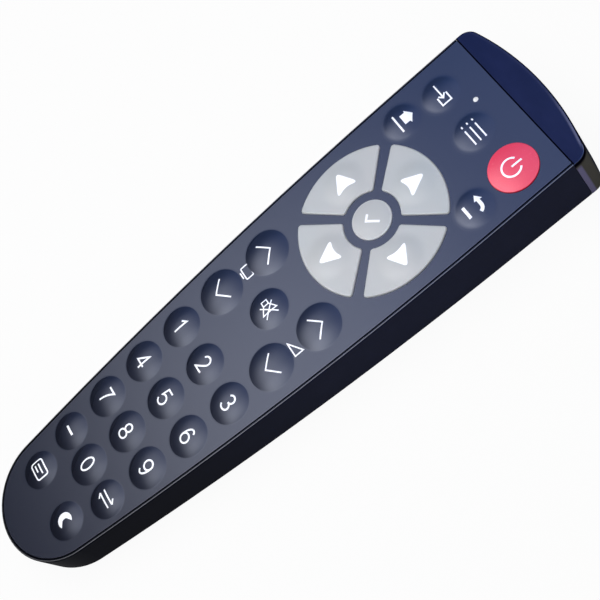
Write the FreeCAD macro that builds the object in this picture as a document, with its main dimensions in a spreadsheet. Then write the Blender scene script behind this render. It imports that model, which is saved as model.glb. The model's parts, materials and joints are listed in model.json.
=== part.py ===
import FreeCAD, Part
import math
import os
import Sketcher
from FreeCAD import Placement, Rotation, Vector

# A handheld remote control, in millimetres.
# Part frame: the flat back lies on Z = 0, +Z points out of the keys and +Y towards the head,
# and the origin is under the middle of the overall length.
# The face is a second plane, the deck, tilted to the back because the case is thicker at the head.
# Deck heights are measured from the face: positive is out of the case, negative is into it.

os.makedirs("parts", exist_ok=True)
doc = FreeCAD.newDocument("remote_control")

# Driving dimensions: name, value, note
DIMENSIONS = [
    ("half_width", 29.6, "half the width of the head"),
    ("crown_y", 62.0, "head end of the case, from the centre of the arrow ring"),
    ("crown_radius", 96.0, "curve of the head end"),
    ("corner_radius", 4.5, "vertical corners of the head"),
    ("shoulder_y", 25.0, "where the straight sides start to narrow"),
    ("tail_y", -127.5, "centre of the tail's half circle"),
    ("tail_radius", 21.2, "radius of the tail"),
    ("ring_height", 18.7, "height of the face over the back, at the arrow ring"),
    ("back_tilt", 2.3, "angle between the face and the back, degrees"),
    ("draft", 1.0, "lean of the side walls, degrees"),
    ("back_edge_radius", 1.2, "rounding where the walls meet the back"),
    ("rim_edge_radius", 0.6, "rounding of the rim beside the face"),
    ("wall", 1.8, "side wall of the tub"),
    ("floor", 1.8, "floor of the tub"),
    ("rim_width", 0.75, "rim of the tub that shows beside the face"),
    ("face_gap", 0.4, "groove between the rim and the face"),
    ("seam_y", 52.6, "straight seam between the tub and the window"),
    ("seam_gap", 0.1, "gap at that seam"),
    ("window_wall", 1.6, "wall of the window cap"),
    ("bulkhead", 1.8, "tub wall behind the window"),
    ("spigot_depth", 1.6, "lip of the bulkhead inside the window"),
    ("spigot_wall", 1.0, "thickness of that lip"),
    ("spigot_fit", 0.1, "clearance of the lip in the window"),
    ("skin", 0.5, "soft face sheet"),
    ("plate", 1.4, "rigid plate under the face sheet"),
    ("plate_clearance", 0.15, "keys in the holes of the plate and the sheet"),
    ("flange_gap", 0.1, "flange of a key under the plate"),
    ("flange", 0.8, "thickness of a key's flange"),
    ("flange_overlap", 0.35, "reach of the flange past a round key"),
    ("pad_flange", 0.3, "reach of the flange past an arrow pad"),
    ("pill", 0.35, "carbon pill under a key"),
    ("pill_radius", 2.0, "radius of the carbon pill"),
    ("travel", 0.8, "travel of every key"),
    ("travel_slack", 0.05, "gap left over the contact at full travel"),
    ("contact", 0.1, "height of the contacts on the board"),
    ("contact_side", 5.0, "side of a square contact"),
    ("board", 1.0, "thickness of the circuit board"),
    ("board_gap", 0.4, "circuit board to the tub's wall"),
    ("web", 1.0, "rubber web on the board"),
    ("web_clearance", 0.25, "flanges in the holes of the web"),
    ("dome_edge", -0.05, "edge of a digit or channel key over the face"),
    ("dome_crown", 0.85, "crown of a digit or channel key"),
    ("soft_edge", -0.1, "edge of the four flat keys at the head"),
    ("soft_crown", 0.55, "crown of the four flat keys at the head"),
    ("hard_edge", 0.35, "edge of the power and enter keys over the face"),
    ("hard_rounding", 0.22, "rounding of that edge"),
    ("power_crown", 1.1, "crown of the power key"),
    ("enter_crown", 0.75, "crown of the enter key"),
    ("ring_inset", 5.6, "arrow ring in from the sides of the case"),
    ("ring_inner", 9.3, "inner radius of the arrow ring"),
    ("pad_gap_inner", 2.9, "gap between arrow pads at the inner radius"),
    ("pad_gap_outer", 3.9, "gap between arrow pads at the outer radius"),
    ("pad_corner", 0.9, "corner radius of an arrow pad"),
    ("pad_height", 0.5, "arrow pad over the face"),
    ("pad_edge", 0.25, "rounded upper edge of an arrow pad"),
    ("bump_lead", 0.25, "swelling of an arrow pad in from the middle of the pad"),
    ("bump_margin", 1.05, "pad beside the swelling"),
    ("bump_height", 0.4, "height of the swelling"),
    ("bump_root", 0.05, "swelling carried into the pad"),
    ("input_radius", 6.56, "input key"),
    ("guide_radius", 6.86, "guide key"),
    ("power_radius", 7.56, "power key"),
    ("home_radius", 6.5, "home key"),
    ("back_key_radius", 6.6, "back key"),
    ("enter_radius", 6.29, "enter key"),
    ("mute_radius", 6.53, "mute key"),
    ("step_radius", 7.4, "channel and volume keys"),
    ("top_row_y", 38.6, "input and guide keys"),
    ("top_row_lead", 0.335, "input and power keys out from the middle of their room"),
    ("power_y", 40.06, "power key"),
    ("home_inset", 10.16, "home and back keys in from the sides of the case"),
    ("home_gap", 0.18, "flanges of the home and back keys to those of the arrow pads"),
    ("step_up_y", -31.0, "channel up and volume up"),
    ("step_down_y", -49.4, "channel down and volume down"),
    ("step_inset", 12.67, "channel and volume keys in from the sides of the case"),
    ("mute_y", -40.2, "mute key"),
    ("digits_y", -65.9, "first row of digits"),
    ("row_pitch", 15.95, "from one row of digits to the next"),
    ("margin_one", 1.67, "flanges of digit row 1 to the side of the rubber web"),
    ("margin_two", 1.05, "flanges of digit row 2 to the side of the rubber web"),
    ("margin_three", 0.65, "flanges of digit row 3 to the side of the rubber web"),
    ("margin_four", 0.47, "flanges of digit row 4 to the side of the rubber web"),
    ("gap_three", 0.7, "gap between the flanges of digit row 3"),
    ("gap_four", 0.4, "gap between the flanges of digit row 4"),
    ("last_row_drop", 1.25, "caption and sleep keys past the centre of the tail"),
    ("last_inset", 11.1, "caption and sleep keys in from the radius of the tail"),
    ("pipe_x", -8.2, "light pipe of the indicator"),
    ("pipe_y", 45.1, "light pipe of the indicator"),
    ("pipe_radius", 0.65, "light pipe of the indicator"),
    ("pipe_flange", 1.3, "flange of the light pipe"),
    ("pipe_clearance", 0.08, "light pipe in its hole"),
    ("pipe_stand", 0.05, "light pipe over the face"),
    ("cell_radius", 5.25, "AAA cell"),
    ("cell_length", 44.5, "AAA cell over its nub"),
    ("cell_nub", 1.0, "length of the nub"),
    ("cell_nub_radius", 1.9, "radius of the nub"),
    ("cell_edge", 0.4, "rounded ends of a cell"),
    ("cell_gap", 0.6, "gap between the two cells"),
    ("cell_clearance", 0.2, "cells to the door and to the bay's roof"),
    ("bay_side_clearance", 0.4, "cells to the sides of the bay"),
    ("bay_head_y", 45.0, "head end of the battery bay, from the arrow ring"),
    ("bay_wall", 1.2, "walls of the battery bay"),
    ("bay_roof", 0.8, "roof of the battery bay"),
    ("spring_room", 4.0, "room for a coil spring"),
    ("strip", 0.4, "thickness of the contact strips"),
    ("strip_half", 4.2, "half the width of a contact strip"),
    ("strip_dimple", 0.2, "dimple of the strip at the positive end"),
    ("strip_margin", 0.4, "contact strips to the roof of the bay and to the door"),
    ("dimple_radius", 1.2, "dimple of the strip at the positive end"),
    ("wire_radius", 0.3, "wire of a coil spring"),
    ("spring_wide", 2.7, "radius of a spring at its strip"),
    ("spring_narrow", 1.9, "radius of a spring at its cell"),
    ("spring_pitch", 0.9, "pitch of a spring's turns"),
    ("spring_play", 0.1, "gap between a spring and its cell"),
    ("door", 1.6, "thickness of the battery door"),
    ("door_gap", 0.2, "gap around the door"),
    ("door_lap", 2.0, "reach of the door past the bay, each side"),
    ("door_head_lap", 4.4, "reach of the door past the bay, at the head"),
    ("door_tail_lap", 5.2, "reach of the door past the bay, at the tail"),
    ("door_corner", 1.6, "corner radius of the door"),
    ("door_seat", 0.1, "gap between the door and its ledge"),
    ("ledge", 1.3, "thickness of the ledge over the door"),
    ("ledge_reach", 1.6, "reach of the ledge past the door"),
    ("tab_width", 5.0, "hinge tabs of the door"),
    ("tab_spread", 7.5, "hinge tabs from the centre line"),
    ("tab_reach", 1.2, "reach of a hinge tab past the door"),
    ("tab_height", 1.0, "thickness of a hinge tab"),
    ("tab_root", 1.0, "length of a tab on the door"),
    ("tab_swing", 3.0, "room that a tab swings through"),
    ("tab_clearance", 0.3, "clearance around a tab"),
    ("latch_width", 8.0, "latch tongue of the door"),
    ("latch_thickness", 1.1, "latch tongue of the door"),
    ("latch_height", 2.9, "latch tongue over the inside of the door"),
    ("latch_nub", 0.7, "nub of the latch"),
    ("latch_clearance", 0.35, "clearance around the latch"),
    ("groove_count", 5, "grip grooves in the door"),
    ("groove_pitch", 1.8, "pitch of the grip grooves"),
    ("groove_depth", 0.4, "depth of the grip grooves"),
    ("groove_half", 5.0, "half the length of the grip grooves"),
    ("screw_spread", 7.9, "pair of case screws from the centre line"),
    ("screw_y", -57.6, "pair of case screws"),
    ("tail_screw_y", -139.3, "single case screw"),
    ("screw_radius", 1.1, "shank of a case screw"),
    ("screw_head_radius", 2.0, "head of a case screw"),
    ("screw_head", 1.3, "height of a case screw's head"),
    ("screw_length", 8.0, "shank of a case screw"),
    ("screw_bite", 2.8, "shank in its post"),
    ("thread_fit", 0.03, "shank in its post, each side"),
    ("screw_clearance", 0.2, "clearance around the screw's head and shank"),
    ("boss_radius", 2.9, "screw bosses of the tub"),
    ("post_radius", 1.9, "screw posts of the plate"),
    ("post_clearance", 0.2, "posts in the holes of the board and the web"),
    ("rest_radius", 1.1, "pegs under the circuit board"),
    ("rest_inset", 7.0, "pegs from the outline"),
    ("rest_first_y", 25.0, "first pair of pegs"),
    ("rest_pitch", 48.0, "from one pair of pegs to the next"),
    ("hook_width", 6.0, "snap hooks at the plate's head end"),
    ("hook_spread", 21.0, "snap hooks from the centre line"),
    ("hook_thickness", 1.1, "snap hooks"),
    ("hook_length", 4.6, "snap hooks under the plate"),
    ("hook_barb", 0.5, "barb of a snap hook"),
    ("hook_clearance", 0.15, "clearance around a snap hook"),
    ("board_head_gap", 0.4, "circuit board to the snap hooks"),
    ("led_radius", 2.5, "infrared emitters"),
    ("led_length", 8.0, "infrared emitters"),
    ("led_collar", 2.9, "collar of an emitter"),
    ("led_collar_length", 1.0, "collar of an emitter"),
    ("led_spread", 9.0, "emitters from the centre line"),
    ("led_depth", 9.6, "emitters under the face"),
    ("led_clearance", 0.15, "emitters in the bulkhead"),
    ("lead_side", 0.5, "square leads of an emitter"),
    ("lead_pitch", 2.54, "pitch of the leads"),
    ("lead_setback", 0.75, "leads from the edge of the circuit board"),
    ("chip_side", 9.0, "controller chip"),
    ("chip_height", 1.6, "controller chip"),
    ("chip_y", -80.0, "controller chip"),
    ("resonator_x", 9.5, "resonator"),
    ("resonator_y", -70.0, "resonator"),
    ("resonator_length", 7.0, "resonator"),
    ("resonator_width", 3.0, "resonator"),
    ("resonator_height", 3.4, "resonator"),
    ("capacitor_radius", 2.5, "storage capacitor, lying on its side"),
    ("capacitor_length", 7.0, "storage capacitor"),
    ("capacitor_x", -12.0, "storage capacitor"),
    ("capacitor_y", -92.0, "storage capacitor"),
    ("transistor_x", 9.0, "emitter driver"),
    ("transistor_y", -92.0, "emitter driver"),
    ("transistor_length", 3.0, "emitter driver"),
    ("transistor_width", 1.6, "emitter driver"),
    ("transistor_height", 1.2, "emitter driver"),
    ("resistor_count", 5, "resistors in their row"),
    ("resistor_pitch", 3.0, "pitch of the resistors"),
    ("resistor_y", -101.0, "row of resistors"),
    ("resistor_length", 2.0, "a resistor"),
    ("resistor_width", 1.25, "a resistor"),
    ("resistor_height", 0.55, "a resistor"),
]

sheet = doc.addObject("Spreadsheet::Sheet", "Sizes")
for row, (name, value, note) in enumerate(DIMENSIONS, start=1):
    sheet.set(f"A{row}", name)
    sheet.set(f"B{row}", str(value))
    sheet.setAlias(f"B{row}", name)
    sheet.set(f"C{row}", note)
doc.recompute()


class Size:
    """A number, and the expression over the sheet's cells that gives it."""

    def __init__(self, value, text):
        self.value = value
        self.text = text

    def _join(self, other, sign, result, swap=False):
        left, right = (other, self) if swap else (self, other)
        return Size(result, f"({left.text} {sign} {right.text})")

    def __add__(self, other):
        other = number(other)
        return self._join(other, "+", self.value + other.value)

    def __radd__(self, other):
        return number(other) + self

    def __sub__(self, other):
        other = number(other)
        return self._join(other, "-", self.value - other.value)

    def __rsub__(self, other):
        return number(other) - self

    def __mul__(self, other):
        other = number(other)
        return self._join(other, "*", self.value * other.value)

    def __rmul__(self, other):
        return number(other) * self

    def __truediv__(self, other):
        other = number(other)
        return self._join(other, "/", self.value / other.value)

    def __neg__(self):
        return number(0) - self


def number(item):
    """Turn a plain number into a Size."""
    return item if isinstance(item, Size) else Size(item, str(item))


def root(item):
    """Square root of a Size."""
    return Size(math.sqrt(item.value), f"sqrt({item.text})")


D = {name: Size(value, f"Sizes.{name}") for name, value, note in DIMENSIONS}


def bind(thing, prop, item):
    """Set a property of an object and tie it to the sheet."""
    item = number(item)
    setattr(thing, prop, item.value)
    thing.setExpression(prop, item.text)


# Heights in the deck frame, from the face down
plate_under = -(D["skin"] + D["plate"])
flange_top = plate_under - D["flange_gap"]
flange_under = flange_top - D["flange"]
pill_under = flange_under - D["pill"]
contact_top = pill_under - D["travel"] - D["travel_slack"]
board_top = contact_top - D["contact"]
board_under = board_top - D["board"]

# Widths in the deck plane
face_inset = D["rim_width"] + D["face_gap"]
board_inset = D["wall"] + D["board_gap"]
side_radius = (
    (D["shoulder_y"] - D["tail_y"]) * (D["shoulder_y"] - D["tail_y"])
    + D["half_width"] * D["half_width"]
    - D["tail_radius"] * D["tail_radius"]
) / (2 * (D["half_width"] - D["tail_radius"]))

# Distance within which an edge counts as lying in a plane
CLOSE = 1e-3

# How far a cutting solid runs past what it cuts
PAST = 1


def half_width_at(y):
    """Half the width of the outline at y, between the shoulder and the tail."""
    drop = number(y) - D["shoulder_y"]
    return D["half_width"] - side_radius + root(side_radius * side_radius - drop * drop)


# Rows of keys: the third row of digits sets the digit keys, the fourth the small keys
lap = D["flange_overlap"]
row_y = [D["digits_y"] - row * D["row_pitch"] for row in range(4)]
room_one, room_two, room_three, room_four = (half_width_at(y) - board_inset for y in row_y)
digit_radius = (room_three - D["gap_three"] - D["margin_three"]) / 3 - lap
small_radius = (room_four - digit_radius - lap - D["gap_four"] - D["margin_four"]) / 2 - lap
spreads = [
    room_one - D["margin_one"] - lap - digit_radius,
    room_two - D["margin_two"] - lap - digit_radius,
    room_three - D["margin_three"] - lap - digit_radius,
    room_four - D["margin_four"] - lap - small_radius,
]
last_row_y = D["tail_y"] - D["last_row_drop"]
last_spread = D["tail_radius"] - D["last_inset"]
step_spread = half_width_at(D["step_up_y"]) - D["step_inset"]

# The arrow ring fills the head from side to side, and the home and back keys stand clear of it
ring_outer = D["half_width"] - D["ring_inset"]
bump_place = (ring_outer + D["ring_inner"]) / 2 - D["bump_lead"]
bump_radius = (ring_outer - D["ring_inner"]) / 2 - D["bump_margin"]
home_spread = D["half_width"] - D["home_inset"]
home_reach = ring_outer + D["pad_flange"] + D["home_gap"] + lap + D["back_key_radius"]
home_y = root(home_reach * home_reach - home_spread * home_spread)
top_row_room = D["half_width"] - board_inset + D["guide_radius"] + lap
top_row_spread = top_row_room / 2 + D["top_row_lead"]


def deck_placement(ring_y):
    """Place the face plane over the back, with the arrow ring's centre at ring_y."""
    tilt = Rotation(Vector(1, 0, 0), D["back_tilt"].value)
    return Placement(Vector(0, ring_y, D["ring_height"].value), tilt)


deck = deck_placement(0)
back = Placement()


# Sketches
def new_sketch(name, placement, body=None, plane=None):
    """Make a free sketch, or one on an origin plane of its own body."""
    if body is None:
        sketch = doc.addObject("Sketcher::SketchObject", name)
        sketch.Placement = placement
        return sketch
    sketch = body.newObject("Sketcher::SketchObject", name)
    planes = {item.Role: item for item in body.Origin.OriginFeatures}
    sketch.AttachmentSupport = [(planes[plane], "")]
    sketch.MapMode = "FlatFace"
    return sketch


def tie(sketch, kind, *picks):
    """Add a constraint; when its last item is a Size, tie its value to the sheet."""
    if not isinstance(picks[-1], Size):
        sketch.addConstraint(Sketcher.Constraint(kind, *picks))
        return
    item = picks[-1]
    index = sketch.addConstraint(Sketcher.Constraint(kind, *picks[:-1], item.value))
    sketch.setExpression(f"Constraints[{index}]", item.text)


def pin_point(sketch, geometry, end, x, y):
    """Fix a point of the sketch by its two distances from the origin."""
    if x is not None:
        tie(sketch, "DistanceX", -1, 1, geometry, end, number(x))
    if y is not None:
        tie(sketch, "DistanceY", -1, 1, geometry, end, number(y))


def arc_between(centre, radius, start, end):
    """An anticlockwise arc from start to end."""
    circle = Part.Circle(Vector(*centre, 0), Vector(0, 0, 1), radius)
    first = math.atan2(start[1] - centre[1], start[0] - centre[0])
    last = math.atan2(end[1] - centre[1], end[0] - centre[0])
    return Part.ArcOfCircle(circle, first, last)


def housing_outline():
    """Outline of the case on the deck: head arc, two corners, two sides, two long arcs, tail."""
    sketch = new_sketch("housing_outline", deck)
    wide, crown = D["half_width"], D["crown_y"]
    big, corner = D["crown_radius"], D["corner_radius"]
    crown_centre = crown - big
    corner_x = wide - corner
    reach = big - corner
    corner_y = crown_centre + root(reach * reach - corner_x * corner_x)
    share = big / reach
    touch_x = corner_x * share
    touch_y = crown_centre + (corner_y - crown_centre) * share
    side_centre = wide - side_radius
    tail, tail_y, shoulder = D["tail_radius"], D["tail_y"], D["shoulder_y"]
    lean = tail / (side_radius - tail)
    tail_x = (side_radius - wide) * lean
    tail_touch_y = tail_y + (tail_y - shoulder) * lean
    ring = [
        ((0, crown_centre), big, (touch_x, touch_y), (-touch_x, touch_y)),
        ((-corner_x, corner_y), corner, (-touch_x, touch_y), (-wide, corner_y)),
        None,
        ((-side_centre, shoulder), side_radius, (-wide, shoulder), (-tail_x, tail_touch_y)),
        ((0, tail_y), tail, (-tail_x, tail_touch_y), (tail_x, tail_touch_y)),
        ((side_centre, shoulder), side_radius, (tail_x, tail_touch_y), (wide, shoulder)),
        None,
        ((corner_x, corner_y), corner, (wide, corner_y), (touch_x, touch_y)),
    ]
    lines = {2: ((-wide, corner_y), (-wide, shoulder)), 6: ((wide, shoulder), (wide, corner_y))}

    def plain(point):
        return tuple(number(item).value for item in point)

    for index, item in enumerate(ring):
        if item is None:
            start, end = (plain(point) for point in lines[index])
            sketch.addGeometry(Part.LineSegment(Vector(*start, 0), Vector(*end, 0)))
        else:
            centre, radius, start, end = item
            arc = arc_between(plain(centre), radius.value, plain(start), plain(end))
            sketch.addGeometry(arc)
    for index in range(len(ring)):
        tie(sketch, "Coincident", index, 2, (index + 1) % len(ring), 1)
    for index, item in enumerate(ring):
        start = lines[index][0] if item is None else item[2]
        pin_point(sketch, index, 1, *start)
        if item is not None and index in (0, 4):
            pin_point(sketch, index, 3, None, item[0][1])
        elif item is not None:
            pin_point(sketch, index, 3, item[0][0], None)
    return sketch


def flat(name, sketch):
    """The flat face inside a sketch."""
    item = doc.addObject("Part::Face", name)
    item.Sources = [sketch]
    item.FaceMakerClass = "Part::FaceMakerBullseye"
    return item


def offset(name, source, amount):
    """A flat face with its edge moved out by amount, with round joins."""
    item = doc.addObject("Part::Offset2D", name)
    item.Source = source
    item.Mode = "Skin"
    item.Join = "Arc"
    bind(item, "Value", amount)
    return item


# Solids
def prism(name, outline, top, bottom):
    """Carry an outline straight from one deck height to another."""
    item = doc.addObject("Part::Extrusion", name)
    item.Base = outline
    item.DirMode = "Normal"
    item.Solid = True
    bind(item, "LengthFwd", top)
    bind(item, "LengthRev", -number(bottom))
    return item


def leaning_prism(name, outline, depth):
    """Carry an outline down from the face, with the draft of the side walls."""
    item = doc.addObject("Part::Extrusion", name)
    item.Base = outline
    item.DirMode = "Normal"
    item.Solid = True
    item.Reversed = True
    bind(item, "LengthFwd", depth)
    bind(item, "TaperAngle", -D["draft"])
    return item


def block(name, x, y, z, frame):
    """A box between two values on each axis of a frame."""
    item = doc.addObject("Part::Box", name)
    low = [number(pair[0]) for pair in (x, y, z)]
    for prop, pair in zip(("Length", "Width", "Height"), (x, y, z)):
        bind(item, prop, number(pair[1]) - number(pair[0]))
    item.Placement = frame * Placement(Vector(*(edge.value for edge in low)), Rotation())
    return item


def cylinder(name, radius, start, height, axis, frame):
    """A cylinder from a start point along an axis of a frame."""
    item = doc.addObject("Part::Cylinder", name)
    bind(item, "Radius", radius)
    bind(item, "Height", height)
    place = Vector(*(number(value).value for value in start))
    item.Placement = frame * Placement(place, Rotation(Vector(0, 0, 1), Vector(*axis)))
    return item


def fuse(name, parts):
    """Join several solids."""
    item = doc.addObject("Part::MultiFuse", name)
    item.Shapes = parts
    item.Refine = True
    return item


def cut(name, base, tools):
    """Take several solids away from one."""
    item = doc.addObject("Part::Cut", name)
    item.Base = base
    item.Tool = tools[0] if len(tools) == 1 else fuse(f"{name}_tools", tools)
    item.Refine = True
    return item


def common(name, first, second):
    """Keep what two solids share."""
    item = doc.addObject("Part::Common", name)
    item.Base = first
    item.Tool = second
    item.Refine = True
    return item


def rounded(name, base, radius, wanted):
    """Round the edges of a solid that a test picks out."""
    doc.recompute()
    item = doc.addObject("Part::Fillet", name)
    item.Base = base
    edges = base.Shape.Edges
    value = number(radius).value
    item.Edges = [(index, value, value) for index, edge in enumerate(edges, 1) if wanted(edge)]
    return item


def group(name, parts):
    """Keep several solids as one node."""
    item = doc.addObject("Part::Compound", name)
    item.Links = parts
    return item


def turned(name, points, dome, frame):
    """Turn a half profile about its own Z axis; dome closes it with an arc centred on the axis."""
    body = doc.addObject("PartDesign::Body", name)
    sketch = new_sketch(f"{name}_profile", None, body, "XZ_Plane")
    plain = [tuple(number(value).value for value in point) for point in points]
    count = len(points)
    for index in range(count):
        start, end = plain[index], plain[(index + 1) % count]
        if dome and index == count - 2:
            rise = end[1] - start[1]
            radius = (start[0] ** 2 + rise ** 2) / (2 * rise)
            curve = arc_between((0, end[1] - radius), radius, start, end)
        else:
            curve = Part.LineSegment(Vector(*start, 0), Vector(*end, 0))
        sketch.addGeometry(curve)
    for index in range(count):
        tie(sketch, "Coincident", index, 2, (index + 1) % count, 1)
        pin_point(sketch, index, 1, *points[index])
    if dome:
        pin_point(sketch, count - 2, 3, 0, None)
    turn = body.newObject("PartDesign::Revolution", f"{name}_turn")
    turn.Profile = sketch
    turn.ReferenceAxis = (sketch, ["V_Axis"])
    turn.Angle = 360
    body.Placement = frame
    return body


def spot(x, y):
    """A frame on the deck, at x and y."""
    return deck * Placement(Vector(number(x).value, number(y).value, 0), Rotation())


def rounded_block(name, x, y, z, frame, radius):
    """A box whose four upright edges are rounded."""
    base = block(f"{name}_box", x, y, z, frame)
    return rounded(name, base, radius, lambda edge: edge.BoundBox.ZLength > edge.BoundBox.DiagonalLength / 2)


# Case form: the outline carried down, cut by the back plane, with its edges rounded
outline_sketch = housing_outline()
outline = flat("housing_face", outline_sketch)
over = 2 * D["ring_height"]
far = 3 * ring_outer
under_back = block("under_back", (-far, far), (-3 * far, 3 * far), (-over, 0), back)
case_blank = leaning_prism("case_blank", outline, over)
case_trimmed = cut("case_trimmed", case_blank, [under_back])
doc.recompute()

# The origin goes under the middle of the case, so both frames move along Y
middle_y = case_trimmed.Shape.optimalBoundingBox().Center.y
deck = deck_placement(-middle_y)
back = Placement(Vector(0, -middle_y, 0), Rotation())
outline_sketch.Placement = deck


def on_back(edge):
    """Tell whether an edge lies in the back plane."""
    return edge.BoundBox.ZMax < CLOSE


def on_face(edge):
    """Tell whether an edge lies in the face plane."""
    home = deck.inverse()
    return all(abs(home.multVec(point).z) < CLOSE for point in edge.discretize(5))


case_soft_back = rounded("case_soft_back", case_trimmed, D["back_edge_radius"], on_back)
case_form = rounded("case_form", case_soft_back, D["rim_edge_radius"], on_face)

# Regions that cut the form into pieces
shell_end = D["seam_y"] - D["seam_gap"] / 2
window_end = D["seam_y"] + D["seam_gap"] / 2
tail_side = block("tail_side", (-far, far), (-3 * far, shell_end), (-over, over), deck)
head_side = block("head_side", (-far, far), (window_end, 2 * far), (-over, over), deck)


def inner_form(name, inset, ceiling, bottom, low_y, high_y):
    """The case form shrunk by inset, between a depth under the face and a height over the back."""
    shrunk = leaning_prism(f"{name}_form", offset(f"{name}_outline", outline, -number(inset)), over)
    under_face = block(f"{name}_deck", (-far, far), (low_y, high_y), (-over, -number(ceiling)), deck)
    over_back = block(f"{name}_back", (-far, far), (-3 * far, 3 * far), (bottom, over), back)
    return common(name, common(f"{name}_slice", shrunk, under_face), over_back)


# Battery bay, in the back frame
bay_half = 2 * D["cell_radius"] + D["cell_gap"] / 2 + D["bay_side_clearance"]
cell_x = D["cell_radius"] + D["cell_gap"] / 2
plus_room = D["strip"] + D["strip_dimple"]
bay_head = D["bay_head_y"]
bay_tail = bay_head - D["cell_length"] - D["spring_room"] - plus_room
cell_z = D["door"] + D["cell_clearance"] + D["cell_radius"]
bay_top = cell_z + D["cell_radius"] + D["cell_clearance"]
bay_low = D["door"] + D["door_seat"]
ledge_top = bay_low + D["ledge"]
door_half = bay_half + D["door_lap"]
door_head = bay_head + D["door_head_lap"]
door_tail = bay_tail - D["door_tail_lap"]
bulkhead_inner = D["seam_y"] - D["bulkhead"]
tab_low = D["floor"] + D["tab_clearance"]
tab_top = tab_low + D["tab_height"]
tab_roof = tab_top + 2 * D["tab_clearance"]
latch_far = bay_tail - D["bay_wall"] - D["latch_clearance"]
latch_near = latch_far - D["latch_thickness"]
latch_tip = latch_near - D["latch_nub"]
nub_low = ledge_top + D["latch_clearance"]
latch_top = D["door"] + D["latch_height"]

# Screws run square to the face
screw_spots = [
    (-D["screw_spread"], D["screw_y"]),
    (D["screw_spread"], D["screw_y"]),
    (0, D["tail_screw_y"]),
]
screw_tip = board_under + D["screw_bite"]
screw_seat = screw_tip - D["screw_length"]
DOWN = (0, 0, -1)
UP = (0, 0, 1)
HEADWARD = (0, 1, 0)

rest_spots = []
for row in range(4):
    rest_y = D["rest_first_y"] - row * D["rest_pitch"]
    if rest_y.value < D["shoulder_y"].value:
        rest_x = half_width_at(rest_y) - D["rest_inset"]
    else:
        rest_x = D["half_width"] - D["rest_inset"]
    rest_spots += [(-rest_x, rest_y), (rest_x, rest_y)]


def hook_x(side, margin=0):
    """Low and high X of a snap hook, grown by a margin."""
    half = D["hook_width"] / 2 + margin
    centre = side * D["hook_spread"]
    return (centre - half, centre + half)


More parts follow.
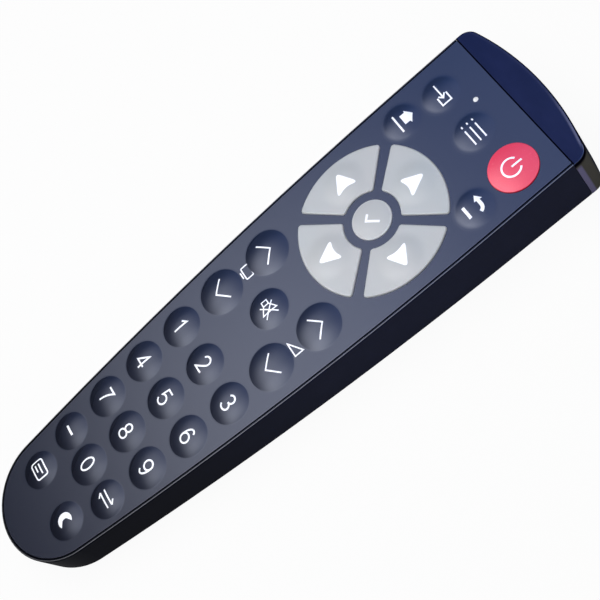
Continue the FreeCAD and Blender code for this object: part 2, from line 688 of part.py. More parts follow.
def back_shell():
    """Deep tub with the battery bay, screw bosses, pegs, bulkhead and the lip for the window."""
    rim = prism("rim_cut", offset("rim_outline", outline, -D["rim_width"]), PAST, plate_under)
    hollow = inner_form("hollow", D["wall"], -plate_under, D["floor"], -3 * far, bulkhead_inner)
    tub = cut("tub", common("tub_blank", case_form, tail_side), [rim, hollow])

    inset = D["window_wall"] + D["spigot_fit"]
    root_y = D["seam_y"] - D["bulkhead"] / 2
    tip_y = D["seam_y"] + D["spigot_depth"]
    lip_out = inner_form("lip_out", inset, -plate_under, inset, root_y, tip_y)
    inset = inset + D["spigot_wall"]
    lip_roof = D["spigot_wall"] - plate_under
    lip_in = inner_form("lip_in", inset, lip_roof, inset, shell_end, tip_y + PAST)
    lip = cut("window_lip", lip_out, [lip_in])

    supports = []
    for index, (x, y) in enumerate(screw_spots, start=1):
        name = f"boss_{index}"
        supports.append(cylinder(name, D["boss_radius"], (x, y, board_under), over, DOWN, deck))
    for index, (x, y) in enumerate(rest_spots, start=1):
        name = f"peg_{index}"
        supports.append(cylinder(name, D["rest_radius"], (x, y, board_under), over, DOWN, deck))
    standing = common("standing", fuse("supports", supports), case_form)

    wide = bay_half + D["bay_wall"]
    bay_y = (bay_tail - D["bay_wall"], bay_head + D["bay_wall"])
    bay = block("bay", (-wide, wide), bay_y, (bay_low, bay_top + D["bay_roof"]), back)
    head_y = (bay_head + D["bay_wall"] / 2, D["seam_y"] - D["bulkhead"] / 2)
    head_z = (bay_low, tab_roof + D["bay_wall"])
    head_block = block("bay_head_block", (-wide, wide), head_y, head_z, back)
    reach = door_half + D["door_gap"] + D["ledge_reach"]
    ledge_y = (door_tail - D["door_gap"] - D["ledge_reach"], head_y[1])
    ledge = block("door_ledge", (-reach, reach), ledge_y, (D["floor"] / 2, ledge_top), back)
    whole = fuse("tub_whole", [tub, lip, standing, bay, head_block, ledge])

    tools = [block("bay_room", (-bay_half, bay_half), (bay_tail, bay_head), (0, bay_top), back)]
    wide = door_half + D["door_gap"]
    recess_y = (door_tail - D["door_gap"], door_head + D["door_gap"])
    corner = D["door_corner"] + D["door_gap"]
    tools.append(rounded_block("door_recess", (-wide, wide), recess_y, (-PAST, bay_low), back, corner))
    half_tab = D["tab_width"] / 2 + D["tab_clearance"]
    pocket_y = (door_head - D["tab_swing"], door_head + D["tab_reach"] + D["tab_clearance"])
    for side in (-1, 1):
        x = (side * D["tab_spread"] - half_tab, side * D["tab_spread"] + half_tab)
        tools.append(block(f"tab_pocket_{side + 2}", x, pocket_y, (D["floor"], tab_roof), back))
        mouth_y = (pocket_y[0], door_head)
        tools.append(block(f"tab_mouth_{side + 2}", x, mouth_y, (0, tab_roof), back))
    half_latch = D["latch_width"] / 2 + D["latch_clearance"]
    slot_y = (latch_tip - D["latch_clearance"], bay_tail - D["bay_wall"])
    slot_z = (0, ledge_top + D["ledge"])
    tools.append(block("latch_slot", (-half_latch, half_latch), slot_y, slot_z, back))
    for index, (x, y) in enumerate(screw_spots, start=1):
        radius = D["screw_head_radius"] + D["screw_clearance"]
        tools.append(cylinder(f"head_bore_{index}", radius, (x, y, screw_seat), over, DOWN, deck))
        radius = D["screw_radius"] + D["screw_clearance"]
        tools.append(cylinder(f"shank_bore_{index}", radius, (x, y, 0), over, DOWN, deck))
    for side in (-1, 1):
        radius = D["led_radius"] + D["led_clearance"]
        start = (side * D["led_spread"], bulkhead_inner - PAST, -D["led_depth"])
        length = D["bulkhead"] + D["spigot_depth"] + 2 * PAST
        tools.append(cylinder(f"led_bore_{side + 2}", radius, start, length, HEADWARD, deck))
        z = (hook_end - D["hook_clearance"], barb_top + D["hook_clearance"])
        y = (bulkhead_inner - PAST, bulkhead_inner + D["hook_barb"] + D["hook_clearance"])
        x = hook_x(side, D["hook_clearance"])
        tools.append(block(f"barb_slot_{side + 2}", x, y, z, deck))
    return cut("back_shell", whole, tools)


def ir_window():
    """Dark cap over the head end, hollow, with even walls."""
    block_out = common("window_blank", case_form, head_side)
    wall = D["window_wall"]
    room = inner_form("window_room", wall, wall, wall, D["seam_y"] - PAST, D["crown_y"] + wall)
    return cut("ir_window", block_out, [room])


# Keys: how high each kind stands at its edge and at its crown, where each sits, and its radius
DOME = (D["dome_edge"], D["dome_crown"])
SOFT = (D["soft_edge"], D["soft_crown"])
POWER = (D["hard_edge"], D["power_crown"])
ENTER = (D["hard_edge"], D["enter_crown"])
ROUND_KEYS = {
    "input_key": (-top_row_spread, D["top_row_y"], D["input_radius"], SOFT),
    "guide_key": (0, D["top_row_y"], D["guide_radius"], SOFT),
    "power_key": (top_row_spread, D["power_y"], D["power_radius"], POWER),
    "home_key": (-home_spread, home_y, D["home_radius"], SOFT),
    "back_key": (home_spread, home_y, D["back_key_radius"], SOFT),
    "enter_key": (0, 0, D["enter_radius"], ENTER),
    "channel_up": (-step_spread, D["step_up_y"], D["step_radius"], DOME),
    "channel_down": (-step_spread, D["step_down_y"], D["step_radius"], DOME),
    "mute_key": (0, D["mute_y"], D["mute_radius"], DOME),
    "volume_up": (step_spread, D["step_up_y"], D["step_radius"], DOME),
    "volume_down": (step_spread, D["step_down_y"], D["step_radius"], DOME),
}
for digit in range(1, 10):
    row, column = divmod(digit - 1, 3)
    place_x = (column - 1) * spreads[row]
    ROUND_KEYS[f"digit_{digit}"] = (place_x, row_y[row], digit_radius, DOME)
ROUND_KEYS["dash_key"] = (-spreads[3], row_y[3], small_radius, DOME)
ROUND_KEYS["digit_0"] = (0, row_y[3], digit_radius, DOME)
ROUND_KEYS["recall_key"] = (spreads[3], row_y[3], small_radius, DOME)
ROUND_KEYS["caption_key"] = (-last_spread, last_row_y, small_radius, DOME)
ROUND_KEYS["sleep_key"] = (last_spread, last_row_y, small_radius, DOME)

PADS = {"nav_up": 0, "nav_left": 90, "nav_down": 180, "nav_right": 270}


def round_key(name):
    """Rubber key: flange, stem and domed crown, with its carbon pill."""
    x, y, radius, (edge_z, crown) = ROUND_KEYS[name]
    wide = radius + D["flange_overlap"]
    profile = [
        (0, flange_under),
        (wide, flange_under),
        (wide, flange_top),
        (radius, flange_top),
        (radius, edge_z),
        (0, crown),
    ]
    cap = turned(f"{name}_cap", profile, True, spot(x, y))
    if edge_z is D["hard_edge"]:
        home = spot(x, y).inverse()

        def rim(edge):
            ring = [] if edge.Degenerated else edge.discretize(5)
            return bool(ring) and all(abs(home.multVec(p).z - edge_z.value) < CLOSE for p in ring)

        cap = rounded(f"{name}_round", cap, D["hard_rounding"], rim)
    pill = cylinder(f"{name}_pill", D["pill_radius"], (0, 0, pill_under), D["pill"], UP, spot(x, y))
    return group(name, [cap, pill])


def pad_outline(name, angle):
    """Outline of one arrow pad: two arcs about the ring's centre and two sides, corners rounded."""
    turn = deck * Placement(Vector(), Rotation(Vector(0, 0, 1), angle))
    sketch = new_sketch(f"{name}_sector", turn)
    corners = []
    for radius, gap in ((D["ring_inner"], D["pad_gap_inner"]), (ring_outer, D["pad_gap_outer"])):
        half = gap / 2
        along = root(radius * radius - half * half)
        corners.append(((along - half) / root(number(2)), (along + half) / root(number(2))))
    (in_x, in_y), (out_x, out_y) = corners
    points = [(in_x, in_y), (out_x, out_y), (-out_x, out_y), (-in_x, in_y)]
    plain = [tuple(number(value).value for value in point) for point in points]
    sketch.addGeometry(Part.LineSegment(Vector(*plain[0], 0), Vector(*plain[1], 0)))
    sketch.addGeometry(arc_between((0, 0), ring_outer.value, plain[1], plain[2]))
    sketch.addGeometry(Part.LineSegment(Vector(*plain[2], 0), Vector(*plain[3], 0)))
    sketch.addGeometry(arc_between((0, 0), D["ring_inner"].value, plain[0], plain[3]))
    tie(sketch, "Coincident", 0, 2, 1, 1)
    tie(sketch, "Coincident", 1, 2, 2, 1)
    tie(sketch, "Coincident", 2, 2, 3, 2)
    tie(sketch, "Coincident", 3, 1, 0, 1)
    for geometry, end, point in ((0, 1, 0), (0, 2, 1), (2, 1, 2), (2, 2, 3)):
        pin_point(sketch, geometry, end, *points[point])
    pin_point(sketch, 1, 3, None, 0)
    pin_point(sketch, 3, 3, None, 0)
    shrunk = offset(f"{name}_shrunk", flat(f"{name}_face", sketch), -D["pad_corner"])
    return offset(f"{name}_outline", shrunk, D["pad_corner"])


def nav_pad(name, angle, shape):
    """Arrow pad: a plate with a rounded upper edge, a low swelling, a flange and its pill."""
    frame = deck * Placement(Vector(), Rotation(Vector(0, 0, 1), angle))
    stem = prism(f"{name}_stem", shape, D["pad_height"], flange_top)
    home = frame.inverse()

    def upper_edge(edge):
        return all(home.multVec(point).z > D["pad_height"].value - CLOSE for point in edge.discretize(5))

    soft = rounded(f"{name}_soft", stem, D["pad_edge"], upper_edge)
    wide = offset(f"{name}_wide", shape, D["pad_flange"])
    flange = prism(f"{name}_flange", wide, flange_top, flange_under)
    rise, reach = D["bump_height"], bump_radius
    ball_radius = (rise * rise + reach * reach) / (2 * rise)
    ball = doc.addObject("Part::Sphere", f"{name}_ball")
    bind(ball, "Radius", ball_radius)
    drop = D["pad_height"] + rise - ball_radius
    ball.Placement = frame * Placement(Vector(0, bump_place.value, drop.value), Rotation())
    slab_z = (D["pad_height"] - D["bump_root"], D["pad_height"] + rise + PAST)
    slab = block(f"{name}_slab", (-far, far), (-far, far), slab_z, frame)
    lens = common(f"{name}_swelling", ball, slab)
    cap = fuse(f"{name}_cap", [soft, flange, lens])
    start = (0, bump_place, pill_under)
    pill = cylinder(f"{name}_pill", D["pill_radius"], start, D["pill"], UP, frame)
    return group(name, [cap, pill])


pad_shapes = {name: pad_outline(name, angle) for name, angle in PADS.items()}


def key_holes(name, round_grow, pad_grow, top, bottom):
    """Straight holes around every key, grown by a clearance."""
    tools = []
    for key, (x, y, radius, crown) in ROUND_KEYS.items():
        size, height = radius + round_grow, number(top) - bottom
        tools.append(cylinder(f"{name}_{key}", size, (x, y, bottom), height, UP, deck))
    for pad, shape in pad_shapes.items():
        grown = offset(f"{name}_{pad}", shape, pad_grow)
        tools.append(prism(f"{name}_{pad}_hole", grown, top, bottom))
    return tools


def pipe_hole(name):
    """Hole of the light pipe, through the sheet and the plate."""
    radius = D["pipe_radius"] + D["pipe_clearance"]
    start = (D["pipe_x"], D["pipe_y"], PAST)
    return cylinder(f"{name}_pipe_hole", radius, start, 2 * PAST - plate_under, DOWN, deck)


face_outline = offset("face_outline", outline, -face_inset)
hook_end = plate_under - D["hook_length"]
barb_top = hook_end + 3 * D["hook_barb"]


def face_skin():
    """Soft sheet of the face, with a hole for each key and one for the light pipe."""
    sheet_form = prism("skin_form", face_outline, 0, -D["skin"])
    tools = key_holes("skin", D["plate_clearance"], D["plate_clearance"], PAST, -2 * D["skin"])
    tools.append(pipe_hole("skin"))
    return cut("face_skin", common("skin_blank", sheet_form, tail_side), tools)


def front_frame():
    """Rigid plate under the face sheet, with key holes, screw posts and two snap hooks."""
    plate = prism("plate_form", face_outline, -D["skin"], plate_under)
    parts = [common("plate_blank", plate, tail_side)]
    length = plate_under - board_under
    for index, (x, y) in enumerate(screw_spots, start=1):
        start = (x, y, board_under)
        parts.append(cylinder(f"post_{index}", D["post_radius"], start, length, UP, deck))
    y_out = bulkhead_inner - D["hook_clearance"]
    y_in = y_out - D["hook_thickness"]
    for side in (-1, 1):
        root_z = plate_under + D["plate"] / 2
        x = hook_x(side)
        parts.append(block(f"hook_{side + 2}", x, (y_in, y_out), (hook_end, root_z), deck))
        barb_y = (y_in, bulkhead_inner + D["hook_barb"])
        barb_z = (hook_end, barb_top)
        parts.append(block(f"barb_{side + 2}", x, barb_y, barb_z, deck))
    tools = key_holes("plate", D["plate_clearance"], D["plate_clearance"], 0, 2 * plate_under)
    tools.append(pipe_hole("plate"))
    for index, (x, y) in enumerate(screw_spots, start=1):
        radius = D["screw_radius"] + D["thread_fit"]
        length = D["screw_bite"] + D["thread_fit"]
        tools.append(cylinder(f"pilot_{index}", radius, (x, y, board_under), length, UP, deck))
    return cut("front_frame", fuse("frame_whole", parts), tools)


board_outline = offset("board_outline", outline, -board_inset)
hook_inner = bulkhead_inner - D["hook_clearance"] - D["hook_thickness"]
board_head = hook_inner - D["board_head_gap"]
board_side = block("board_side", (-far, far), (-3 * far, board_head), (-over, over), deck)


def post_holes(name, top, bottom):
    """Holes that the screw posts pass through."""
    holes = []
    for index, (x, y) in enumerate(screw_spots, start=1):
        radius, height = D["post_radius"] + D["post_clearance"], number(top) - bottom
        hole = f"{name}_post_hole_{index}"
        holes.append(cylinder(hole, radius, (x, y, bottom), height, UP, deck))
    return holes


def keymat_web():
    """Rubber web on the circuit board, with room for each flange."""
    top = board_top + D["web"]
    blank = common("web_blank", prism("web_form", board_outline, top, board_top), board_side)
    grow = D["flange_overlap"] + D["web_clearance"]
    tools = key_holes("web", grow, D["pad_flange"] + D["web_clearance"], 0, board_under)
    tools += post_holes("web", 0, board_under)
    radius = D["pipe_flange"] + D["web_clearance"]
    tools.append(cylinder("web_pipe_hole", radius, (D["pipe_x"], D["pipe_y"], 0), over, DOWN, deck))
    return cut("keymat_web", blank, tools)


def circuit_board():
    """Circuit board, on its pegs, the screw bosses and the roof of the bay."""
    form = prism("board_form", board_outline, board_top, board_under)
    blank = common("board_blank", form, board_side)
    return cut("circuit_board", blank, post_holes("board", 0, 2 * board_under))


def contact_pads():
    """Flat contacts on the board, one under each pill."""
    places = [(number(x), number(y)) for x, y, radius, crown in ROUND_KEYS.values()]
    reach = bump_place
    places += [(number(0), reach), (-reach, number(0)), (number(0), -reach), (reach, number(0))]
    half = D["contact_side"] / 2
    pads = []
    for index, (x, y) in enumerate(places, start=1):
        z = (board_top, contact_top)
        pads.append(block(f"contact_{index}", (x - half, x + half), (y - half, y + half), z, deck))
    return group("contact_pads", pads)


def indicator():
    """Light pipe with its flange, and the small lamp under it."""
    x, y = D["pipe_x"], D["pipe_y"]
    top = board_top + D["pipe_radius"]
    foot = top + D["flange_gap"]
    wide, slim = D["pipe_flange"], D["pipe_radius"]
    upper = plate_under - D["flange_gap"]
    profile = [(0, foot), (slim, foot), (slim, upper - D["pill"]), (wide, upper - D["pill"])]
    profile += [(wide, upper), (slim, upper), (slim, 0), (0, D["pipe_stand"])]
    pipe = turned("light_pipe_turned", profile, True, spot(x, y))
    lamp = block("lamp_box", (x - 2 * slim, x + 2 * slim), (y - slim, y + slim), (board_top, top), deck)
    return group("indicator_light_pipe", [pipe]), group("indicator_led", [lamp])


def ir_led(name, side):
    """Infrared emitter: collar, barrel, domed end and two bent leads."""
    radius, collar, length = D["led_radius"], D["led_collar"], D["led_length"]
    profile = [(0, 0), (collar, 0), (collar, D["led_collar_length"]), (radius, D["led_collar_length"])]
    profile += [(radius, length - radius), (0, length)]
    x = side * D["led_spread"]
    rear = bulkhead_inner - D["led_collar_length"]
    place = Vector(x.value, rear.value, -D["led_depth"].value)
    frame = deck * Placement(place, Rotation(Vector(0, 0, 1), Vector(0, 1, 0)))
    parts = [turned(f"{name}_barrel", profile, True, frame)]
    half = D["lead_side"] / 2
    lead_y = board_head - D["lead_setback"]
    for hand in (-1, 1):
        at = x + hand * D["lead_pitch"] / 2
        level = -D["led_depth"]
        across = (at - half, at + half)
        run = block(f"{name}_run_{hand + 2}", across, (lead_y - half, rear), (level - half, level + half), deck)
        rise = block(f"{name}_rise_{hand + 2}", across, (lead_y - half, lead_y + half), (level, board_under), deck)
        parts.append(fuse(f"{name}_lead_{hand + 2}", [run, rise]))
    return group(name, parts)


def under_board(name, x, y, length, width, height):
    """A flat component on the underside of the board."""
    half_x, half_y = length / 2, width / 2
    z = (board_under - height, board_under)
    return block(name, (x - half_x, x + half_x), (y - half_y, y + half_y), z, deck)


def electronics():
    """Chip, resonator, capacitor, driver and resistors."""
    side = D["chip_side"]
    chip = under_board("chip_box", number(0), D["chip_y"], side, side, D["chip_height"])
    size = (D["resonator_length"], D["resonator_width"], D["resonator_height"])
    resonator = under_board("resonator_box", D["resonator_x"], D["resonator_y"], *size)
    size = (D["transistor_length"], D["transistor_width"], D["transistor_height"])
    driver = under_board("driver_box", D["transistor_x"], D["transistor_y"], *size)
    start = (D["capacitor_x"], D["capacitor_y"], board_under - D["capacitor_radius"])
    can = cylinder("capacitor_can", D["capacitor_radius"], start, D["capacitor_length"], (1, 0, 0), deck)
    row = []
    count = int(D["resistor_count"].value)
    size = (D["resistor_length"], D["resistor_width"], D["resistor_height"])
    for index in range(count):
        x = (index - (count - 1) / 2) * D["resistor_pitch"]
        row.append(under_board(f"resistor_{index + 1}", x, D["resistor_y"], *size))
    return [
        group("controller_chip", [chip]),
        group("resonator", [resonator]),
        group("driver_transistor", [driver]),
        group("capacitor", [can]),
        group("resistors", row),
    ]


def cell(name, x, nub_tip, way):
    """AAA cell; way is +1 with its nub towards the head, -1 towards the tail."""
    radius, nub, edge = D["cell_radius"], D["cell_nub_radius"], D["cell_edge"]
    body = D["cell_length"] - D["cell_nub"]
    profile = [(0, 0), (radius - edge, 0), (radius, edge), (radius, body - edge)]
    profile += [(radius - edge, body), (nub, body), (nub, D["cell_length"]), (0, D["cell_length"])]
    foot = nub_tip - way * D["cell_length"]
    turn = Rotation(Vector(0, 0, 1), Vector(0, way, 0))
    place = Vector(number(x).value, foot.value, cell_z.value)
    return group(name, [turned(f"{name}_turned", profile, False, back * Placement(place, turn))])


def coil(name, x, strip_face, way):
    """Conical spring that stands on its strip and narrows towards its cell."""
    wire = D["wire_radius"]
    helix = doc.addObject("Part::Helix", f"{name}_line")
    rise = D["spring_room"] - D["strip"] - 2 * wire - D["spring_play"]
    bind(helix, "Pitch", D["spring_pitch"])
    bind(helix, "Height", rise)
    bind(helix, "Radius", D["spring_wide"])
    lean = (D["spring_wide"] - D["spring_narrow"]) / rise
    helix.Angle = -math.degrees(math.atan(lean.value))
    turn = Rotation(Vector(0, 0, 1), Vector(0, way, 0))
    place = Vector(number(x).value, (strip_face + way * wire).value, cell_z.value)
    frame = back * Placement(place, turn)
    helix.Placement = frame
    section = doc.addObject("Part::Circle", f"{name}_section")
    bind(section, "Radius", wire)
    start = Placement(Vector(D["spring_wide"].value, 0, 0), Rotation(Vector(1, 0, 0), 90))
    section.Placement = frame * start
    sweep = doc.addObject("Part::Sweep", name)
    sweep.Sections = [section]
    sweep.Spine = (helix, ["Edge1"])
    sweep.Solid = True
    sweep.Frenet = True
    return sweep


def strip(name, x, wall_face, way):
    """Contact strip against an end wall of the bay, over a range of X."""
    z = (bay_low + D["strip_margin"], bay_top - D["strip_margin"])
    y = (wall_face, wall_face + D["strip"]) if way > 0 else (wall_face - D["strip"], wall_face)
    return block(name, x, y, z, back)


def dimple(name, x, strip_face, way):
    """Raised dimple of a strip, under a cell's nub."""
    start = (x, strip_face - way * D["strip"] / 2, cell_z)
    height = D["strip"] / 2 + D["strip_dimple"]
    return cylinder(name, D["dimple_radius"], start, height, (0, way, 0), back)


def battery_contacts():
    """Bridge at the tail end of the bay, one plus and one minus contact at its head end."""
    half = D["strip_half"]
    tail_face = bay_tail + D["strip"]
    head_face = bay_head - D["strip"]
    bridge = strip("bridge_strip", (-cell_x - half, cell_x + half), bay_tail, 1)
    bridge = fuse("bridge_plate", [bridge, dimple("bridge_dimple", cell_x, tail_face, 1)])
    plus = strip("plus_strip", (-cell_x - half, -cell_x + half), bay_head, -1)
    plus = fuse("plus_plate", [plus, dimple("plus_dimple", -cell_x, head_face, -1)])
    minus = strip("minus_strip", (cell_x - half, cell_x + half), bay_head, -1)
    return [
        group("bridge_contact", [bridge, coil("bridge_coil", -cell_x, tail_face, 1)]),
        group("positive_contact", [plus]),
        group("negative_contact", [minus, coil("minus_coil", cell_x, head_face, -1)]),
    ]


def battery_door():
    """Flush door with two hinge tabs, a latch tongue and grip grooves."""
    y = (door_tail, door_head)
    panel = rounded_block("door_panel", (-door_half, door_half), y, (0, D["door"]), back, D["door_corner"])
    parts = [panel]
    inside = D["door"] / 2
    for side in (-1, 1):
        centre = side * D["tab_spread"]
        x = (centre - D["tab_width"] / 2, centre + D["tab_width"] / 2)
        stem_y = (door_head - D["tab_root"], door_head - D["door_gap"])
        parts.append(block(f"tab_stem_{side + 2}", x, stem_y, (inside, tab_top), back))
        tab_y = (door_head - D["tab_root"], door_head + D["tab_reach"])
        parts.append(block(f"tab_{side + 2}", x, tab_y, (tab_low, tab_top), back))
    half = D["latch_width"] / 2
    parts.append(block("latch_tongue", (-half, half), (latch_near, latch_far), (inside, latch_top), back))
    nub_y = (latch_tip, latch_near)
    parts.append(block("latch_nub_box", (-half, half), nub_y, (nub_low, latch_top), back))
    grooves = []
    for index in range(int(D["groove_count"].value)):
        start_y = latch_far + index * D["groove_pitch"] + D["groove_pitch"]
        start = (-D["groove_half"], start_y, 0)
        name = f"groove_{index + 1}"
        grooves.append(cylinder(name, D["groove_depth"], start, 2 * D["groove_half"], (1, 0, 0), back))
    return cut("battery_door", fuse("door_whole", parts), grooves)


def case_screws():
    """Three equal screws that hold the tub to the plate."""
    screws = []
    for index, (x, y) in enumerate(screw_spots, start=1):
        wide, slim = D["screw_head_radius"], D["screw_radius"]
        profile = [(0, screw_seat - D["screw_head"]), (wide, screw_seat - D["screw_head"])]
        profile += [(wide, screw_seat), (slim, screw_seat), (slim, screw_tip), (0, screw_tip)]
        screws.append(turned(f"screw_{index}", profile, False, spot(x, y)))
    return group("case_screws", screws)


nodes = [back_shell(), ir_window(), face_skin(), front_frame(), keymat_web(), circuit_board()]
nodes += [contact_pads(), *indicator(), ir_led("ir_led_left", -1), ir_led("ir_led_right", 1)]
nodes += electronics()
nodes += [cell("battery_1", -cell_x, bay_head - plus_room, 1)]
nodes += [cell("battery_2", cell_x, bay_tail + plus_room, -1)]
nodes += battery_contacts()
nodes += [battery_door(), case_screws()]
nodes += [round_key(name) for name in ROUND_KEYS]
nodes += [nav_pad(name, angle, pad_shapes[name]) for name, angle in PADS.items()]
doc.recompute()

# Check every object, then write one file for each node
failed = [item.Name for item in doc.Objects if "Invalid" in item.State or "Error" in item.State]
if failed:
    raise RuntimeError(f"these objects failed: {failed}")
for node in nodes:
    node.Label = node.Name
    shape = node.Shape
    if shape.isNull() or not shape.isValid() or not shape.Solids:
        raise RuntimeError(f"{node.Label} has no sound solid")
    shape.exportStep(f"parts/{node.Label}.step")
print(len(nodes), "nodes, face height over the back at the arrow ring", D["ring_height"].value)
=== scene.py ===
import json
import logging
import math
from collections.abc import Callable
from dataclasses import dataclass
from enum import Enum
from functools import cached_property

import bpy
import numpy as np
from mathutils import Matrix, Vector


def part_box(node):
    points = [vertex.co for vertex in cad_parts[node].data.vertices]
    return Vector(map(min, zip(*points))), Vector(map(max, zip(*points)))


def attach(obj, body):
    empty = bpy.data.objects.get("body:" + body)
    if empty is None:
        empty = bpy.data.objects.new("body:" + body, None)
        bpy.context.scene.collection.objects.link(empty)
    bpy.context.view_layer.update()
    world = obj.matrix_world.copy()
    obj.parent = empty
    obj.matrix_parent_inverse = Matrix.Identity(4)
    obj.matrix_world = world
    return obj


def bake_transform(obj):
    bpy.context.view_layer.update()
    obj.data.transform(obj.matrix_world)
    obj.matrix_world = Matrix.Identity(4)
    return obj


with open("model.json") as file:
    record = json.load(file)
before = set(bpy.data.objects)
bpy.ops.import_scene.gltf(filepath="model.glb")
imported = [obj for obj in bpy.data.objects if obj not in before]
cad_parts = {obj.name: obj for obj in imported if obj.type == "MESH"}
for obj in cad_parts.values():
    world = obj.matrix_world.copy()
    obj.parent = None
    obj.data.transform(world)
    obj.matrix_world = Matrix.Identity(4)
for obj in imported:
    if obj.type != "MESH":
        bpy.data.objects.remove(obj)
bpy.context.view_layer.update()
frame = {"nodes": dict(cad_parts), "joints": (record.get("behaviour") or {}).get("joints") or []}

# A handheld remote control. The frame is in metres, on its flat back, with its head towards +Y.
# The face is a tilted plane, the deck. Sizes on it are in millimetres, from the centre of the
# arrow ring: x to the right, y towards the head, z out of the face.
LOG = logging.getLogger("remote_control")
MM = 0.001
# Two numbers, such as a place on the deck or both ends of a range; three, such as a direction;
# a colour; and the four places at which a band starts, is full, fades and ends.
Pair = tuple[float, float]
Triple = tuple[float, float, float]
Color = tuple[float, float, float]
Band = tuple[float, float, float, float]
# Points that lie closer than this are one point, in millimetres.
CLOSE = 1e-6
# Points round a key, and rings from its middle to the edge of its dome.
AROUND = 96
DOME_RINGS = 23


@dataclass(frozen=True)
class Deck:
    """The face plane, with its own axes in the part's frame.

    Attributes:
        tilt: angle between the face and the back, in radians.
        ring_y: where the arrow ring's centre lies along the part, in metres.
        height: height of the face there, in metres.
    """

    tilt: float
    ring_y: float
    height: float

    def place(self, points: np.ndarray) -> np.ndarray:
        """Carry deck points to the part's frame.

        The face is turned about X by the tilt and moved to the ring's centre:
        Y = ring_y + y cos(tilt) - z sin(tilt), Z = height + y sin(tilt) + z cos(tilt).

        Args:
            points: an array of (x, y, z) in millimetres.

        Returns:
            The same points in metres, in the part's frame.
        """
        points = np.asarray(points, float) * MM
        x, y, z = points[..., 0], points[..., 1], points[..., 2]
        cos, sin = math.cos(self.tilt), math.sin(self.tilt)
        return np.stack([x, self.ring_y + y * cos - z * sin, self.height + y * sin + z * cos], -1)

    def turn(self, direction: Triple) -> Vector:
        """Turn a direction on the deck into the part's frame."""
        return Matrix.Rotation(self.tilt, 3, "X") @ Vector(direction)


# Each key has a flange under the face, wider than its stem. How much wider, how deep its middle
# lies, and the gap between the stem and its hole, in millimetres.
FLANGE_OVERLAP = 0.35
FLANGE_MIDDLE = 2.4
HOLE_CLEARANCE = 0.15
# Height of the face at the arrow ring's centre, in metres.
RING_HEIGHT = 0.0187


def press_tilt() -> float:
    """Angle of the face, from the direction in which the enter key is pressed."""
    axis = next(joint["axis"] for joint in frame["joints"] if joint["name"] == "enter_key_press")
    return math.atan2(axis[1], -axis[2])


def ring_place(tilt: float) -> float:
    """Y of the arrow ring's centre, from the box of the enter key's flange."""
    low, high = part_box("enter_key")
    return (low.y + high.y) / 2 - FLANGE_MIDDLE * MM * math.sin(tilt)


TILT = press_tilt()
DECK = Deck(TILT, ring_place(TILT), RING_HEIGHT)


@dataclass(frozen=True)
class Spot:
    """Centre and radius of a round key on the deck, in millimetres."""

    x: float
    y: float
    radius: float

    @property
    def centre(self) -> Pair:
        """Where its axis stands."""
        return self.x, self.y


def key_spot(node: str) -> Spot:
    """Read a round key's place from the box of its flange.

    Args:
        node: the key's node.

    Returns:
        Its centre and the radius of its stem.
    """
    low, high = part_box(node)
    middle = (low.y + high.y) / 2 - FLANGE_MIDDLE * MM * math.sin(DECK.tilt) - DECK.ring_y
    radius = (high.x - low.x) / 2 / MM - FLANGE_OVERLAP
    return Spot((low.x + high.x) / 2 / MM, middle / math.cos(DECK.tilt) / MM, radius)


# Meshes
def grid_faces(rows: int, columns: int, wrap: bool) -> np.ndarray:
    """Quads of a grid whose points run row by row.

    Args:
        rows: number of rows of points.
        columns: number of points in a row.
        wrap: whether each row closes on itself.

    Returns:
        An array of four corners for each quad.
    """
    across = columns if wrap else columns - 1
    row, column = np.meshgrid(np.arange(rows - 1), np.arange(across), indexing="ij")
    start = row * columns + column
    side = row * columns + (column + 1) % columns
    return np.stack([start, side, side + columns, start + columns], -1).reshape(-1, 4)


def new_mesh(name: str, points: np.ndarray, quads: np.ndarray, fans: list[np.ndarray]) -> bpy.types.Object:
    """Make a mesh object from quads and from fans that close its ends.

    Args:
        name: the piece's name.
        points: points in metres, in the part's frame.
        quads: corners of the quads.
        fans: for each fan, its triangles' corners.

    Returns:
        The new object, at the origin.
    """
    faces = [quads.reshape(-1)] + [fan.reshape(-1) for fan in fans]
    sizes = [np.full(len(quads), 4)] + [np.full(len(fan), 3) for fan in fans]
    corners = np.concatenate(faces).astype(np.int32)
    totals = np.concatenate(sizes).astype(np.int32)
    starts = np.concatenate([[0], np.cumsum(totals)[:-1]]).astype(np.int32)
    mesh = bpy.data.meshes.new(name)
    mesh.vertices.add(len(points))
    mesh.vertices.foreach_set("co", points.astype(np.float32).reshape(-1))
    mesh.loops.add(len(corners))
    mesh.loops.foreach_set("vertex_index", corners)
    mesh.polygons.add(len(totals))
    mesh.polygons.foreach_set("loop_start", starts)
    mesh.polygons.foreach_set("loop_total", totals)
    mesh.polygons.foreach_set("use_smooth", np.ones(len(totals), bool))
    mesh.update(calc_edges=True)
    mesh.validate()
    piece = bpy.data.objects.new(name, mesh)
    bpy.context.scene.collection.objects.link(piece)
    return piece


def fan_faces(centre: int, first: int, count: int, flip: bool) -> np.ndarray:
    """Triangles from a centre point to a closed row of points.

    Args:
        centre: index of the centre point.
        first: index of the row's first point.
        count: number of points in the row.
        flip: whether to turn the triangles over.

    Returns:
        An array of three corners for each triangle.
    """
    ring = first + np.arange(count)
    after = first + (np.arange(count) + 1) % count
    middle = np.full(count, centre)
    return np.stack([middle, after, ring] if flip else [middle, ring, after], -1)


